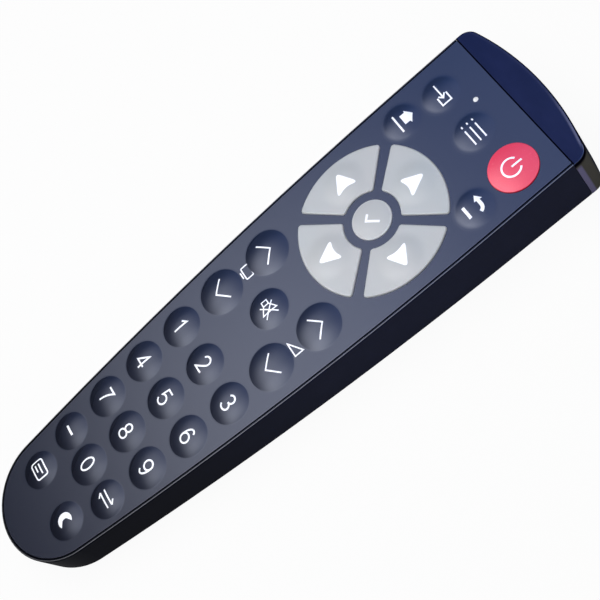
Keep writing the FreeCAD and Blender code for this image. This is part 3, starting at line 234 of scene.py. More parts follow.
def closed_stack(name: str, rings: np.ndarray, top: np.ndarray, bottom: np.ndarray) -> bpy.types.Object:
    """Close a stack of rings at both ends.

    The rings are a surface of two parameters: down the stack and round it, anticlockwise seen
    from above. The first ring is next to the top point and the last next to the bottom point.

    Args:
        name: the piece's name.
        rings: points of shape (rings, count, 3), in deck millimetres.
        top: the point that closes the first ring.
        bottom: the point that closes the last ring.

    Returns:
        The new object.
    """
    count, around = rings.shape[:2]
    points = np.concatenate([rings.reshape(-1, 3), top[None], bottom[None]])
    quads = grid_faces(count, around, True)[:, ::-1]
    caps = [fan_faces(count * around, 0, around, False)]
    caps.append(fan_faces(count * around + 1, (count - 1) * around, around, True))
    return new_mesh(name, DECK.place(points), quads, caps)


def turned(name: str, axis: Pair, profile: np.ndarray, ends: Pair, around: int = AROUND) -> bpy.types.Object:
    """Turn a profile about an upright axis: x = axis_x + r cos(t), y = axis_y + r sin(t).

    Args:
        name: the piece's name.
        axis: where the axis stands on the deck.
        profile: points (r, z) from the middle of the top round to the middle of the underside.
        ends: heights of the two points on the axis that close it.
        around: number of points round the axis.

    Returns:
        The new object.
    """
    turn = np.linspace(0, 2 * np.pi, around, endpoint=False)
    flat = np.array(axis) + profile[:, :1, None] * heading(turn)
    level = np.broadcast_to(profile[:, 1:, None], (len(profile), around, 1))
    rings = np.concatenate([flat, level], -1)
    top, bottom = (np.array([*axis, end]) for end in ends)
    return closed_stack(name, rings, top, bottom)


def unit(vectors: np.ndarray) -> np.ndarray:
    """Vectors of length 1: each vector over its length."""
    return vectors / np.linalg.norm(vectors, axis=-1, keepdims=True)


def heading(turn: np.ndarray) -> np.ndarray:
    """Vectors of length 1 in the directions t: (cos t, sin t)."""
    return np.stack([np.cos(turn), np.sin(turn)], -1)


def dome_rings(radius: float, count: int = DOME_RINGS) -> np.ndarray:
    """Radii of rings with equal areas between them: radius sqrt(n / count)."""
    return radius * np.sqrt(np.linspace(0, 1, count + 1)[1:])


def sharp_by_angle(piece: bpy.types.Object, degrees: float) -> None:
    """Shade a piece smooth, but keep edges over an angle crisp."""
    piece.data.shade_smooth()
    piece.data.set_sharp_from_angle(angle=math.radians(degrees))


# Shader maths
class Wire:
    """The output of a shader node, with operators that add Math nodes."""

    def __init__(self, shader: "Shader", socket: bpy.types.NodeSocket) -> None:
        """Keep the shader and the socket."""
        self.shader = shader
        self.socket = socket

    def _math(self, operation: str, other: "Wire | float", swap: bool = False) -> "Wire":
        """Add one Math node for this value and another."""
        values = (other, self) if swap else (self, other)
        return self.shader.node("ShaderNodeMath", {"operation": operation}, dict(enumerate(values)))

    def __add__(self, other: "Wire | float") -> "Wire":
        """Sum."""
        return self._math("ADD", other)

    __radd__ = __add__

    def __mul__(self, other: "Wire | float") -> "Wire":
        """Product."""
        return self._math("MULTIPLY", other)

    __rmul__ = __mul__

    def __sub__(self, other: "Wire | float") -> "Wire":
        """Difference."""
        return self._math("SUBTRACT", other)

    def __rsub__(self, other: float) -> "Wire":
        """Difference, reflected."""
        return self._math("SUBTRACT", other, swap=True)

    def __pow__(self, other: "Wire | float") -> "Wire":
        """Power."""
        return self._math("POWER", other)

    def clamped(self) -> "Wire":
        """The value held between 0 and 1."""
        settings = {"operation": "ADD", "use_clamp": True}
        return self.shader.node("ShaderNodeMath", settings, {0: self, 1: 0.0})

    def step(self, low: float, high: float) -> "Wire":
        """A smooth step from 0 at low to 1 at high."""
        inputs = {0: self, 1: low, 2: high, 3: 0.0, 4: 1.0}
        return self.shader.node("ShaderNodeMapRange", {"interpolation_type": "SMOOTHSTEP"}, inputs)

    def band(self, start: float, full: float, fade: float, end: float) -> "Wire":
        """A smooth band: 0 up to start, 1 from full to fade, and 0 from end."""
        return self.step(start, full) * (1 - self.step(fade, end))


@dataclass(frozen=True)
class Pattern:
    """A pattern of soft blots.

    Attributes:
        size: width of the blots, in millimetres.
        detail: number of finer layers.
        rough: strength of each finer layer against the one before.
        stretch: how much narrower the blots are along x, y and z.
        cut: values between which it turns from 0 to 1, where it is cut.
    """

    size: float
    detail: float = 2.0
    rough: float = 0.5
    stretch: Triple = (1.0, 1.0, 1.0)
    cut: Pair | None = None


class Shader:
    """The nodes of a material, with its Principled shader, or those of the world."""

    def __init__(self, name: str, library: str = "materials") -> None:
        """Start a material or a world.

        Args:
            name: its name.
            library: where it is kept, "materials" or "worlds".
        """
        self.owner = getattr(bpy.data, library).new(name)
        self.owner.use_nodes = True
        self.tree = self.owner.node_tree
        self.principled = self.tree.nodes.get("Principled BSDF")

    def node(self, kind: str, settings: dict, inputs: dict, output: int | str = 0) -> Wire:
        """Add any node.

        Args:
            kind: the node's type.
            settings: its settings.
            inputs: values or wires, by the input's number or name.
            output: the output to hand back.

        Returns:
            The wire of that output.
        """
        node = self.tree.nodes.new(kind)
        for key, value in settings.items():
            setattr(node, key, value)
        for key, value in inputs.items():
            self.plug(node.inputs[key], value)
        return Wire(self, node.outputs[output])

    def plug(self, socket: bpy.types.NodeSocket, value: "Wire | float | tuple") -> None:
        """Link a wire to an input, or set the input's own value.

        Args:
            socket: the input.
            value: the wire, or the value; a colour has three numbers.
        """
        if isinstance(value, Wire):
            self.tree.links.new(value.socket, socket)
        elif isinstance(value, tuple) and len(value) == 3 and socket.type == "RGBA":
            socket.default_value = (*value, 1.0)
        else:
            socket.default_value = value

    def surface(self, wire: Wire) -> None:
        """Let a shader node make the surface."""
        output = next(node for node in self.tree.nodes if node.name.endswith("Output"))
        self.plug(output.inputs["Surface"], wire)

    def set(self, **values: "Wire | float | tuple") -> None:
        """Set inputs of the Principled shader, with _ for the spaces in their names."""
        for key, value in values.items():
            self.plug(self.principled.inputs[key.replace("_", " ")], value)

    def mix(self, factor: Wire, first: "Wire | Color", second: "Wire | Color") -> Wire:
        """Mix two colours."""
        return self.node("ShaderNodeMix", {"data_type": "RGBA"}, {0: factor, 6: first, 7: second}, 2)

    def place(self) -> Wire:
        """Object coordinates, in metres."""
        return self.node("ShaderNodeTexCoord", {}, {}, "Object")

    def axis(self, index: int) -> Wire:
        """One object coordinate, in millimetres."""
        split = self.node("ShaderNodeSeparateXYZ", {}, {0: self.place()}, index)
        return split * (1 / MM)

    def depth(self) -> Wire:
        """Depth under the face, in millimetres."""
        up = (self.axis(2) - DECK.height / MM) * math.cos(DECK.tilt)
        return (self.axis(1) - DECK.ring_y / MM) * math.sin(DECK.tilt) - up

    def along(self) -> Wire:
        """Distance along the face from the ring's centre towards the head, in millimetres."""
        up = (self.axis(2) - DECK.height / MM) * math.sin(DECK.tilt)
        return (self.axis(1) - DECK.ring_y / MM) * math.cos(DECK.tilt) + up

    def noise(self, pattern: Pattern) -> Wire:
        """Lay a pattern on the object's own coordinates.

        Args:
            pattern: the pattern.

        Returns:
            Its value, from 0 to 1.
        """
        mapping = self.node("ShaderNodeMapping", {"vector_type": "POINT"}, {0: self.place(), 3: pattern.stretch})
        inputs = {"Vector": mapping, "Scale": 1 / (pattern.size * MM)}
        inputs |= {"Detail": pattern.detail, "Roughness": pattern.rough}
        value = self.node("ShaderNodeTexNoise", {}, inputs)
        return value.step(*pattern.cut) if pattern.cut else value

    def bump(self, height: Wire, depth: float) -> None:
        """Raise the surface by height, up to depth millimetres."""
        bump = self.node("ShaderNodeBump", {}, {"Strength": 1.0, "Distance": depth * MM, "Height": height})
        self.set(Normal=bump)


# Finishes
@dataclass(frozen=True)
class Finish:
    """A finish, which becomes one material.

    Attributes:
        name: the material's name.
    """

    name: str

    def build(self) -> bpy.types.Material:
        """Make the material.

        Returns:
            It, with the nodes of this finish.
        """
        shader = Shader(self.name)
        self.fill(shader)
        return shader.owner

    def fill(self, shader: Shader) -> None:
        """Add the nodes of the finish; here there are none."""

    def tone(self, shader: Shader, color: Wire) -> Wire:
        """Leave the colour as it is."""
        return color


@dataclass(frozen=True)
class Silicone(Finish):
    """Soft moulded silicone: mottled colour, a satin skin with fine grain and a little dust.

    Attributes:
        color: colour of most of the surface.
        blot: colour of its faint blots.
        roughness: roughness of the skin.
        grain: depth of the grain, in millimetres.
        specular: strength of the satin reflection.
        sheen: colour of that reflection.
        blots: pattern of the blots.
        fine: pattern of the grain.
        dust: pattern of the specks of dust.
        grain_dulls: how far the grain changes the roughness.
        dust_dulls: how far the dust raises it.
    """

    color: Color
    blot: Color
    roughness: float = 0.42
    grain: float = 0.012
    specular: float = 0.5
    sheen: Color = (1.0, 1.0, 1.0)
    blots: Pattern = Pattern(26.0, 3.0, cut=(0.35, 0.70))
    fine: Pattern = Pattern(0.32, 3.0, 0.6)
    dust: Pattern = Pattern(1.1, 2.0, 0.7, cut=(0.66, 0.80))
    grain_dulls: float = 0.10
    dust_dulls: float = 0.07

    def fill(self, shader: Shader) -> None:
        """Make the mottled colour, the satin skin and its grain.

        Args:
            shader: the material's nodes.
        """
        fine, dust = shader.noise(self.fine), shader.noise(self.dust)
        color = self.tone(shader, shader.mix(shader.noise(self.blots), self.color, self.blot))
        shader.set(Base_Color=color, Specular_IOR_Level=self.specular, Specular_Tint=self.sheen)
        shader.set(Roughness=self.roughness + (fine - 0.5) * self.grain_dulls + dust * self.dust_dulls)
        shader.bump(fine, self.grain)


@dataclass(frozen=True)
class PadSilicone(Silicone):
    """Pale silicone whose walls are painted lighter than its top: painted light over the shade that falls on them.

    Attributes:
        glow: painted light on the walls, the lighter colour they take.
        wall: depths, negative over the face, between which the walls take that colour.
    """

    glow: Color = (0.86, 0.87, 0.90)
    wall: Pair = (-0.45, -0.25)

    def tone(self, shader: Shader, color: Wire) -> Wire:
        """Paint light on the walls: a painted highlight that lightens them."""
        # Painted light: the walls are lighter than the top, to cover their shade.
        return shader.mix(shader.depth().step(*self.wall), color, self.glow)


@dataclass(frozen=True)
class MouldedPlastic(Finish):
    """Hard moulded plastic with a spark-eroded texture and rubbed patches.

    Attributes:
        color: colour of most of the surface.
        wear_and_highlight: colour of rubbed patches.
        roughness: roughness between the patches.
        texture: depth of the texture, in millimetres.
        coat: weight of a clear coat.
        coat_rough: roughness of that coat.
        specular: strength of the reflection.
        patches: pattern of the rubbed patches.
        dimples: pattern of the texture.
        patch_shine: how far they lower the roughness.
        grain_dulls: how far the texture changes it.
    """

    color: Color
    wear_and_highlight: Color
    roughness: float = 0.4
    texture: float = 0.02
    coat: float = 0.0
    coat_rough: float = 0.08
    specular: float = 0.1
    patches: Pattern = Pattern(15.0, 4.0, 0.6, cut=(0.45, 0.72))
    dimples: Pattern = Pattern(0.45, 2.0, 0.6)
    patch_shine: float = 0.06
    grain_dulls: float = 0.12

    def fill(self, shader: Shader) -> None:
        """Make the texture and the rubbed patches.

        Args:
            shader: the material's nodes.
        """
        patches, dimples = shader.noise(self.patches), shader.noise(self.dimples)
        color = self.tone(shader, shader.mix(patches, self.color, self.wear_and_highlight))
        rough = self.roughness - patches * self.patch_shine + (dimples - 0.5) * self.grain_dulls
        shader.set(Base_Color=color, Roughness=rough, Specular_IOR_Level=self.specular)
        shader.set(Coat_Weight=self.coat, Coat_Roughness=self.coat_rough)
        shader.bump(dimples, self.texture)
        self.polish(shader)

    def polish(self, shader: Shader) -> None:
        """Leave the coat as it is."""


@dataclass(frozen=True)
class CasePlastic(MouldedPlastic):
    """Case plastic, coated along the rounded rim beside the face, with a painted highlight on that rim and painted
    shade towards the tail.

    Attributes:
        rim: depths under the face at which the coated line with its painted highlight starts, is full, fades and
            ends.
        rim_highlight: painted highlight along that line, the lighter colour it takes.
        wear_and_shade: places along the face between which the painted shade at the tail turns to the head's colour.
        dark: painted shade at the tail, the colour it takes there.
        line_coat: weight of the coat along the polished line.
        rest_coat: weight of the coat elsewhere.
    """

    rim: Band = (0.015, 0.03, 0.10, 0.13)
    rim_highlight: Color = (0.16, 0.16, 0.17)
    wear_and_shade: Pair = (-120.0, -10.0)
    dark: Color = (0.004, 0.005, 0.010)
    line_coat: float = 1.0
    rest_coat: float = 0.05
    coat_rough: float = 0.15

    def tone(self, shader: Shader, color: Wire) -> Wire:
        """Paint shade towards the tail and a painted highlight along the rim."""
        # Painted shade: the case is darker towards the tail.
        color = shader.mix(shader.along().step(*self.wear_and_shade), self.dark, color)
        # Painted highlight: a lighter colour along the rim line.
        return shader.mix(self.line(shader), color, self.rim_highlight)

    def line(self, shader: Shader) -> Wire:
        """1 along the coated line with its painted highlight, otherwise 0."""
        return shader.depth().band(*self.rim)

    def polish(self, shader: Shader) -> None:
        """Coat the outer side of the rim."""
        weight = self.line(shader) * (self.line_coat - self.rest_coat) + self.rest_coat
        shader.set(Coat_Weight=weight)


@dataclass(frozen=True)
class WindowPlastic(Finish):
    """Blue plastic that passes infrared: dark, with a coated edge that catches the light, painted shade along its
    rounded edge and seam, a painted highlight streak and a painted reflection strip on its walls.

    Attributes:
        top: colour of its upper side.
        bloom: colour of the upper side's lighter clouds.
        front: colour of its walls at the head.
        side: colour of its walls at both sides.
        reflection_strip: painted reflection on the walls next to the case, the lighter colour of that strip.
        shade: colour of the rounded edge and of the seam.
        shade_width: width of the seam's dark line.
        seam: where the window starts, along the face.
        strip_width: width of that strip, from the seam.
        arc: radius of the head's arc.
        arc_centre: place of the arc's centre along the face.
        highlight_span: places along x between which the painted highlight streak inside the arc grows and ends.
        highlight_start: share of the streak where it starts.
        highlight_band: distances inside the arc at which it starts, is full, fades and ends.
        highlight_even: share of it that is the same all along.
        highlight_smeared: share that the smears add.
        wear_and_highlight: the painted highlight's colour in that streak.
        highlight_cover: share of that colour in it.
        beside: distances from the middle between which the front turns to the sides.
        strip_depth: depths between which the painted reflection strip comes into view.
        wall_depth: depths between which the dark edge turns to the walls' colour.
        edge_depth: depths between which the top turns to the dark rounded edge.
        foot_depth: depths between which that edge ends.
        gloss_depth: depths between which the top's gloss ends.
        shine_depth: depths at which the edge's shine starts, is full, fades and ends.
        shine_side: places along x between which the rounded edge starts to shine.
        edge_coat: weight of the coat on the rounded edge.
        top_coat: the same on the upper side.
        highlight_coat: the same on the streak.
        coat_rough: roughness of the coat.
        roughness: roughness between the smears.
        smear_dulls: how far the smears raise it.
        veil: pattern of the clouds.
        smears: pattern of the smears.
        ripple: pattern of the top's faint waves.
        relief: depth of those waves, in millimetres.
    """

    top: Color
    bloom: Color
    front: Color
    side: Color
    reflection_strip: Color
    shade: Color = (0.002, 0.002, 0.006)
    shade_width: float = 0.4
    seam: float = 52.65
    strip_width: float = 1.6
    arc: float = 96.0
    arc_centre: float = -34.0
    highlight_span: Triple = (2.0, 24.0, 28.0)
    highlight_start: float = 0.1
    highlight_band: Band = (0.35, 0.55, 0.7, 1.35)
    highlight_even: float = 0.6
    highlight_smeared: float = 0.3
    wear_and_highlight: Color = (0.13, 0.12, 0.17)
    highlight_cover: float = 0.8
    beside: Pair = (25.0, 28.5)
    strip_depth: Pair = (1.5, 4.0)
    wall_depth: Pair = (1.0, 2.6)
    edge_depth: Pair = (0.05, 0.12)
    foot_depth: Pair = (0.7, 1.0)
    gloss_depth: Pair = (0.02, 0.05)
    shine_depth: Band = (0.03, 0.06, 0.12, 0.20)
    shine_side: Pair = (24.5, 27.0)
    edge_coat: float = 0.9
    top_coat: float = 0.07
    highlight_coat: float = 0.7
    coat_rough: float = 0.15
    roughness: float = 0.14
    smear_dulls: float = 0.05
    veil: Pattern = Pattern(11.0, 2.0, 0.5, (1.0, 2.2, 2.2), (0.3, 0.75))
    smears: Pattern = Pattern(4.0, 4.0, 0.65, (1.0, 3.0, 1.0), (0.45, 0.8))
    ripple: Pattern = Pattern(1.6)
    relief: float = 0.003

    def streak(self, shader: Shader) -> Wire:
        """Mask of the painted highlight streak inside the head's arc.

        It is a band of the distance from the arc's centre, which grows along x and then ends.

        Args:
            shader: the material's nodes.

        Returns:
            1 where the painted highlight is strongest, otherwise less.
        """
        across, along = shader.axis(0), shader.along() - self.arc_centre
        inset = self.arc - (across * across + along * along) ** 0.5
        start, full, end = self.highlight_span
        grown = across.step(start, full) * (1 - self.highlight_start) + self.highlight_start
        return inset.band(*self.highlight_band) * grown * (1 - across.step(full, end))

    def fill(self, shader: Shader) -> None:
        """Make the top with its painted highlight streak and its painted shade at the edges and seam, and the walls
        with their painted reflection strip.

        Args:
            shader: the material's nodes.
        """
        depth, across, along = shader.depth(), shader.axis(0), shader.along() - self.seam
        smears = shader.noise(self.smears)
        reflection_strip = (1 - along.step(self.strip_width * 0.8, self.strip_width * 1.2)) * depth.step(*self.strip_depth)
        beside = across.step(*self.beside) + (across * -1).step(*self.beside)
        # Painted reflection: a lighter strip on the walls next to the case.
        walls = shader.mix(beside, self.front, shader.mix(reflection_strip, self.side, self.reflection_strip))
        walls = shader.mix(depth.step(*self.wall_depth), self.shade, walls)
        streak = self.streak(shader) * (smears * self.highlight_smeared + self.highlight_even)
        above = shader.mix(shader.noise(self.veil), self.top, self.bloom)
        # Painted highlight: the streak takes a lighter colour.
        above = shader.mix(streak * self.highlight_cover, above, self.wear_and_highlight)
        lens = along.step(self.shade_width * 0.7, self.shade_width)
        above = shader.mix(lens, self.shade, above)
        rounded = shader.mix(depth.step(*self.edge_depth), above, self.shade)
        shader.set(Base_Color=shader.mix(depth.step(*self.foot_depth), rounded, walls))
        shader.set(Roughness=self.roughness + smears * self.smear_dulls, Specular_IOR_Level=0.0)
        edge = depth.band(*self.shine_depth) * across.step(*self.shine_side)
        gloss = (1 - depth.step(*self.gloss_depth)) * lens * self.top_coat
        weight = edge * self.edge_coat + gloss + streak * self.highlight_coat
        shader.set(Coat_Weight=weight, Coat_Roughness=self.coat_rough)
        shader.bump(shader.noise(self.ripple), self.relief)


@dataclass(frozen=True)
class Ink(Finish):
    """Screen-printed ink with slightly uneven cover.

    Attributes:
        color: colour of the ink.
        thin: colour where the ink is thin.
        cover: pattern of its thickness.
        wear_and_shade: values of that pattern between which the ink turns thin.
        thin_share: share of the thin colour where it is thinnest.
        roughness: its mean roughness.
        unevenness: how far the thickness changes that.
        relief: height of the pattern, in millimetres.
    """

    color: Color
    thin: Color
    cover: Pattern = Pattern(0.5, 3.0, 0.7)
    wear_and_shade: Pair = (0.52, 0.75)
    thin_share: float = 0.6
    roughness: float = 0.5
    unevenness: float = 0.2
    relief: float = 0.004

    def fill(self, shader: Shader) -> None:
        """Make the ink, with its slightly uneven cover.

        Args:
            shader: the material's nodes.
        """
        cover = shader.noise(self.cover)
        shader.set(Base_Color=shader.mix(cover.step(*self.wear_and_shade) * self.thin_share, self.color, self.thin))
        shader.set(Roughness=self.roughness + (cover - 0.5) * self.unevenness)
        shader.bump(cover, self.relief)


@dataclass(frozen=True)
class PlatedMetal(Finish):
    """Plated metal with drawn streaks and dull specks.

    Attributes:
        color: colour of the plating.
        dull: colour of the specks.
        roughness: roughness of clean plating.
        streaks: pattern of the drawn streaks.
        specks: pattern of the specks.
        speck_cover: how much less metallic they are.
        streak_dulls: how far the streaks change the roughness.
        speck_dulls: how far the specks raise it.
        relief: depth of the streaks, in millimetres.
    """

    color: Color
    dull: Color
    roughness: float = 0.25
    streaks: Pattern = Pattern(0.5, 3.0, 0.6, (1.0, 0.15, 1.0))
    specks: Pattern = Pattern(0.8, 3.0, 0.7, cut=(0.6, 0.72))
    speck_cover: float = 0.3
    streak_dulls: float = 0.15
    speck_dulls: float = 0.2
    relief: float = 0.004

    def fill(self, shader: Shader) -> None:
        """Make the drawn streaks and the dull specks.

        Args:
            shader: the material's nodes.
        """
        streaks, specks = shader.noise(self.streaks), shader.noise(self.specks)
        shader.set(Base_Color=shader.mix(specks, self.color, self.dull), Metallic=1 - specks * self.speck_cover)
        shader.set(Roughness=self.roughness + (streaks - 0.5) * self.streak_dulls + specks * self.speck_dulls)
        shader.bump(streaks, self.relief)


@dataclass(frozen=True)
class Laminate(Finish):
    """Circuit board: weave under lacquer, with the tracks showing as a lighter tone.

    Attributes:
        lacquer: colour over bare laminate.
        track: colour over copper.
        width: values of the wave between which a track starts.
        fields: pattern of the fields that hold tracks.
        weave: pattern of the weave.
        roughness: roughness of the lacquer.
        weave_dulls: how far the weave raises it.
        weave_share: height of the weave, as a share of a track's.
        relief: height of a track, in millimetres.
    """

    lacquer: Color
    track: Color
    width: Pair = (0.74, 0.80)
    fields: Pattern = Pattern(14.0, cut=(0.42, 0.5))
    weave: Pattern = Pattern(0.25)
    roughness: float = 0.32
    weave_dulls: float = 0.1
    weave_share: float = 0.3
    relief: float = 0.03

    def fill(self, shader: Shader) -> None:
        """Make the weave and the tracks.

        Args:
            shader: the material's nodes.
        """
        inputs = {"Vector": shader.place(), "Scale": 90.0, "Distortion": 3.0, "Detail": 1.0, "Detail Scale": 0.6}
        bands = shader.node("ShaderNodeTexWave", {"bands_direction": "X"}, inputs)
        tracks = bands.step(*self.width) * shader.noise(self.fields)
        weave = shader.noise(self.weave)
        shader.set(Base_Color=shader.mix(tracks, self.lacquer, self.track))
        shader.set(Roughness=self.roughness + weave * self.weave_dulls)
        shader.bump(tracks + weave * self.weave_share, self.relief)


@dataclass(frozen=True)
class CellJacket(Finish):
    """Printed jacket of a dry cell: a dark body, a band at one end, bare steel ends.

    Attributes:
        ends: lowest and highest Y of the jacket, in millimetres.
        band_edge: Y where the band starts, in millimetres.
        band_side: 1 for a band on the head side of that edge, -1 for the tail side.
        body: colour of the long part.
        band: colour of the band.
        steel: colour of the bare ends.
        blend: width over which one colour turns to the next, in millimetres.
        cover: how much less metallic the print is.
        scuffs: pattern of the scuffs.
        roughness: roughness between them.
        scuff_dulls: how far they raise it.
        relief: their depth, in millimetres.
    """

    ends: Pair
    band_edge: float
    band_side: int
    body: Color = (0.015, 0.016, 0.02)
    band: Color = (0.55, 0.28, 0.09)
    steel: Color = (0.6, 0.6, 0.6)
    blend: float = 0.1
    cover: float = 0.75
    scuffs: Pattern = Pattern(3.0, 4.0, 0.7, cut=(0.58, 0.70))
    roughness: float = 0.28
    scuff_dulls: float = 0.15
    relief: float = 0.004

    def fill(self, shader: Shader) -> None:
        """Make the print, the bare ends and the scuffs.

        Args:
            shader: the material's nodes.
        """
        along = shader.axis(1)
        low, high = self.ends
        jacket = along.band(low, low + self.blend, high - self.blend, high)
        banded = ((along - self.band_edge) * self.band_side).step(0.0, self.blend)
        scuffs = shader.noise(self.scuffs)
        printed = shader.mix(banded, self.body, self.band)
        shader.set(Base_Color=shader.mix(jacket, self.steel, printed))
        shader.set(Metallic=1 - jacket * self.cover, Roughness=self.roughness + scuffs * self.scuff_dulls)
        shader.bump(scuffs, self.relief)


@dataclass(frozen=True)
class Palette:
    """Every finish of the remote control."""

    face: Silicone = Silicone(
        "face_silicone",
        (0.0068, 0.0083, 0.016),
        (0.0078, 0.009, 0.017),
        roughness=0.20,
        grain=0.003,
        specular=0.25,
        sheen=(0.82, 0.89, 1.0),
    )
    pad: PadSilicone = PadSilicone("pad_silicone", (0.472, 0.50, 0.505), (0.491, 0.50, 0.496), 0.34, 0.006, 0.15)
    power: Silicone = Silicone("power_silicone", (0.86, 0.028, 0.063), (0.88, 0.032, 0.069), 0.26, 0.006, 0.26)
    web: Silicone = Silicone("web_silicone", (0.30, 0.31, 0.33), (0.34, 0.34, 0.35), 0.55)
    case: CasePlastic = CasePlastic("case_plastic", (0.013, 0.016, 0.038), (0.015, 0.018, 0.042), 0.5, specular=0.0)
    plate: MouldedPlastic = MouldedPlastic("plate_plastic", (0.03, 0.03, 0.035), (0.04, 0.04, 0.045))
    window: WindowPlastic = WindowPlastic(
        "window_plastic",
        top=(0.008, 0.014, 0.062),
        bloom=(0.011, 0.018, 0.076),
        front=(0.016, 0.020, 0.052),
        side=(0.095, 0.090, 0.078),
        reflection_strip=(0.19, 0.175, 0.30),
    )
    ink: Ink = Ink("white_ink", (0.93, 0.93, 0.95), (0.80, 0.81, 0.86))
    lamp: MouldedPlastic = MouldedPlastic("lamp_plastic", (0.97, 0.98, 1.0), (0.94, 0.96, 1.0), 0.2, 0.004)
    emitter: MouldedPlastic = MouldedPlastic(
        "emitter_epoxy",
        (0.05, 0.06, 0.12),
        (0.07, 0.08, 0.15),
        roughness=0.12,
        texture=0.003,
        coat=1.0,
        specular=0.5,
        dimples=Pattern(1.0, 2.0, 0.6),
    )
    epoxy: MouldedPlastic = MouldedPlastic("chip_epoxy", (0.02, 0.02, 0.02), (0.03, 0.03, 0.03), 0.6)
    resonator: MouldedPlastic = MouldedPlastic("resonator_dip", (0.55, 0.24, 0.05), (0.60, 0.30, 0.08), 0.3)
    sleeve: MouldedPlastic = MouldedPlastic("capacitor_sleeve", (0.03, 0.04, 0.09), (0.05, 0.06, 0.11), 0.2)
    contact: PlatedMetal = PlatedMetal("contact_plating", (0.83, 0.65, 0.33), (0.60, 0.45, 0.25))
    spring: PlatedMetal = PlatedMetal("spring_plating", (0.72, 0.71, 0.69), (0.48, 0.46, 0.43))
    screw: PlatedMetal = PlatedMetal("screw_plating", (0.55, 0.55, 0.56), (0.36, 0.35, 0.34), 0.35)
    board: Laminate = Laminate("board_laminate", (0.012, 0.11, 0.035), (0.03, 0.19, 0.06))


class Dresser:
    """Makes each finish once and gives it to pieces and nodes."""

    def __init__(self) -> None:
        """Start with nothing made."""
        self.made: dict[str, bpy.types.Material] = {}

    def paint(self, piece: bpy.types.Object, finish: Finish) -> None:
        """Give a piece one finish all over.

        Args:
            piece: a node of the frame, which may have material slots, or a new piece.
            finish: its finish.
        """
        if finish.name not in self.made:
            self.made[finish.name] = finish.build()
        slots = piece.data.materials
        if not slots:
            slots.append(None)
        for index in range(len(slots)):
            slots[index] = self.made[finish.name]

    def dress(self, piece: bpy.types.Object, finish: Finish, slot: str) -> None:
        """Paint a new piece."""
        self.paint(piece, finish)


PALETTE = Palette()
DRESSER = Dresser()


# Printed marks
class Mark(Enum):
    """The marks that are printed on the keys and on the face."""

    DASH = "dash"
    UP = "up"
    DOWN = "down"
    MUTE = "mute"
    POWER = "power"
    INPUT = "input"
    GUIDE = "guide"
    HOME = "home"
    BACK = "back"
    CHECK = "check"
    CAPTION = "caption"
    SLEEP = "sleep"
    RECALL = "recall"
    SCREEN = "screen"
    LOUDNESS = "loudness"


@dataclass(frozen=True)
class Stroke:
    """One line of ink: a path on the deck with a width, in millimetres.

    Attributes:
        path: points of shape (count, 2) along the middle of the line.
        width: width of the line.
    """

    path: np.ndarray
    width: float


@dataclass(frozen=True)
class Patch:
    """A filled area of ink.

    Attributes:
        outline: points of shape (count, 2) round it, anticlockwise.
        centre: a point that sees the whole outline.
    """

    outline: np.ndarray
    centre: Pair


Shapes = list[Stroke | Patch]


def strokes(width: float, *paths: np.ndarray) -> Shapes:
    """Lines of ink of one width."""
    return [Stroke(path, width) for path in paths]


def line(*points: Pair) -> np.ndarray:
    """A path of straight runs through the points."""
    return np.array(points, float)


def arc(x: float, y: float, wide: float, high: float, start: float, end: float) -> np.ndarray:
    """An elliptic arc: centre plus (wide cos t, high sin t), with t from start to end degrees."""
    turn = np.radians(np.linspace(start, end, max(6, int(abs(end - start) / 7.5))))
    return np.array([x, y]) + np.array([wide, high]) * heading(turn)


def bow(start: Pair, pull: Pair, end: Pair) -> np.ndarray:
    """A parabola from start to end: (1-t)^2 start + 2t(1-t) pull + t^2 end."""
    t = np.linspace(0, 1, 12)[:, None]
    return (1 - t) ** 2 * np.array(start) + 2 * t * (1 - t) * np.array(pull) + t**2 * np.array(end)


def run(*paths: np.ndarray) -> np.ndarray:
    """Join paths end to end.

    Args:
        *paths: paths that each start where the one before ends.

    Returns:
        One path, without the points that repeat.
    """
    joined = np.concatenate(paths)
    keep = np.concatenate([[True], np.linalg.norm(np.diff(joined, axis=0), axis=1) > CLOSE])
    return joined[keep]


# Width of a numeral's ink, and how far the middle of its ink reaches sideways and upwards.
DIGIT_WIDTH = 0.56
DIGIT_REACH = 1.52
DIGIT_RISE = 2.52


def digit_paths(digit: int) -> list[np.ndarray]:
    """Paths of a plain numeral, made of lines, elliptic arcs and parabolas.

    Args:
        digit: 0 to 9. A 9 is a 6 turned half round.

    Returns:
        The middle of each of its lines.
    """
    wide, high = DIGIT_REACH, DIGIT_RISE
    six = [
        arc(0, -0.98, wide, 1.54, 0, 360),
        arc(0.12, -0.98, wide + 0.12, 3.50, 180, 104),
        arc(0.12, 0.86, 1.28, 1.66, 104, 34),
    ]
    shapes = {
        0: [arc(0, 0, wide, high, 90, 450)],
        1: [line((-1.05, 1.25), (0.25, high), (0.25, -high))],
        2: [
            run(
                arc(0, 1.08, 1.42, 1.44, 168, -38),
                bow((1.12, 0.19), (0.2, -1.0), (-wide, -high)),
                line((wide, -high)),
            )
        ],
        3: [arc(-0.08, 1.26, 1.30, 1.26, 158, -90), arc(-0.08, -1.22, 1.50, 1.30, 90, -160)],
        4: [line((0.72, -high), (0.72, high), (-1.72, -1.05), (1.72, -1.05))],
        5: [run(line((1.28, high), (-0.98, high), (-1.26, 0.10)), arc(-0.05, -0.92, 1.55, 1.60, 139, -158))],
        6: six,
        7: [run(line((-wide, high), (wide, high)), bow((wide, high), (-0.15, 0.4), (-0.55, -high)))],
        8: [arc(0, 1.30, 1.24, 1.22, 90, 450), arc(0, -1.20, wide, 1.32, 90, 450)],
        9: [-path for path in six],
    }
    return shapes[digit]


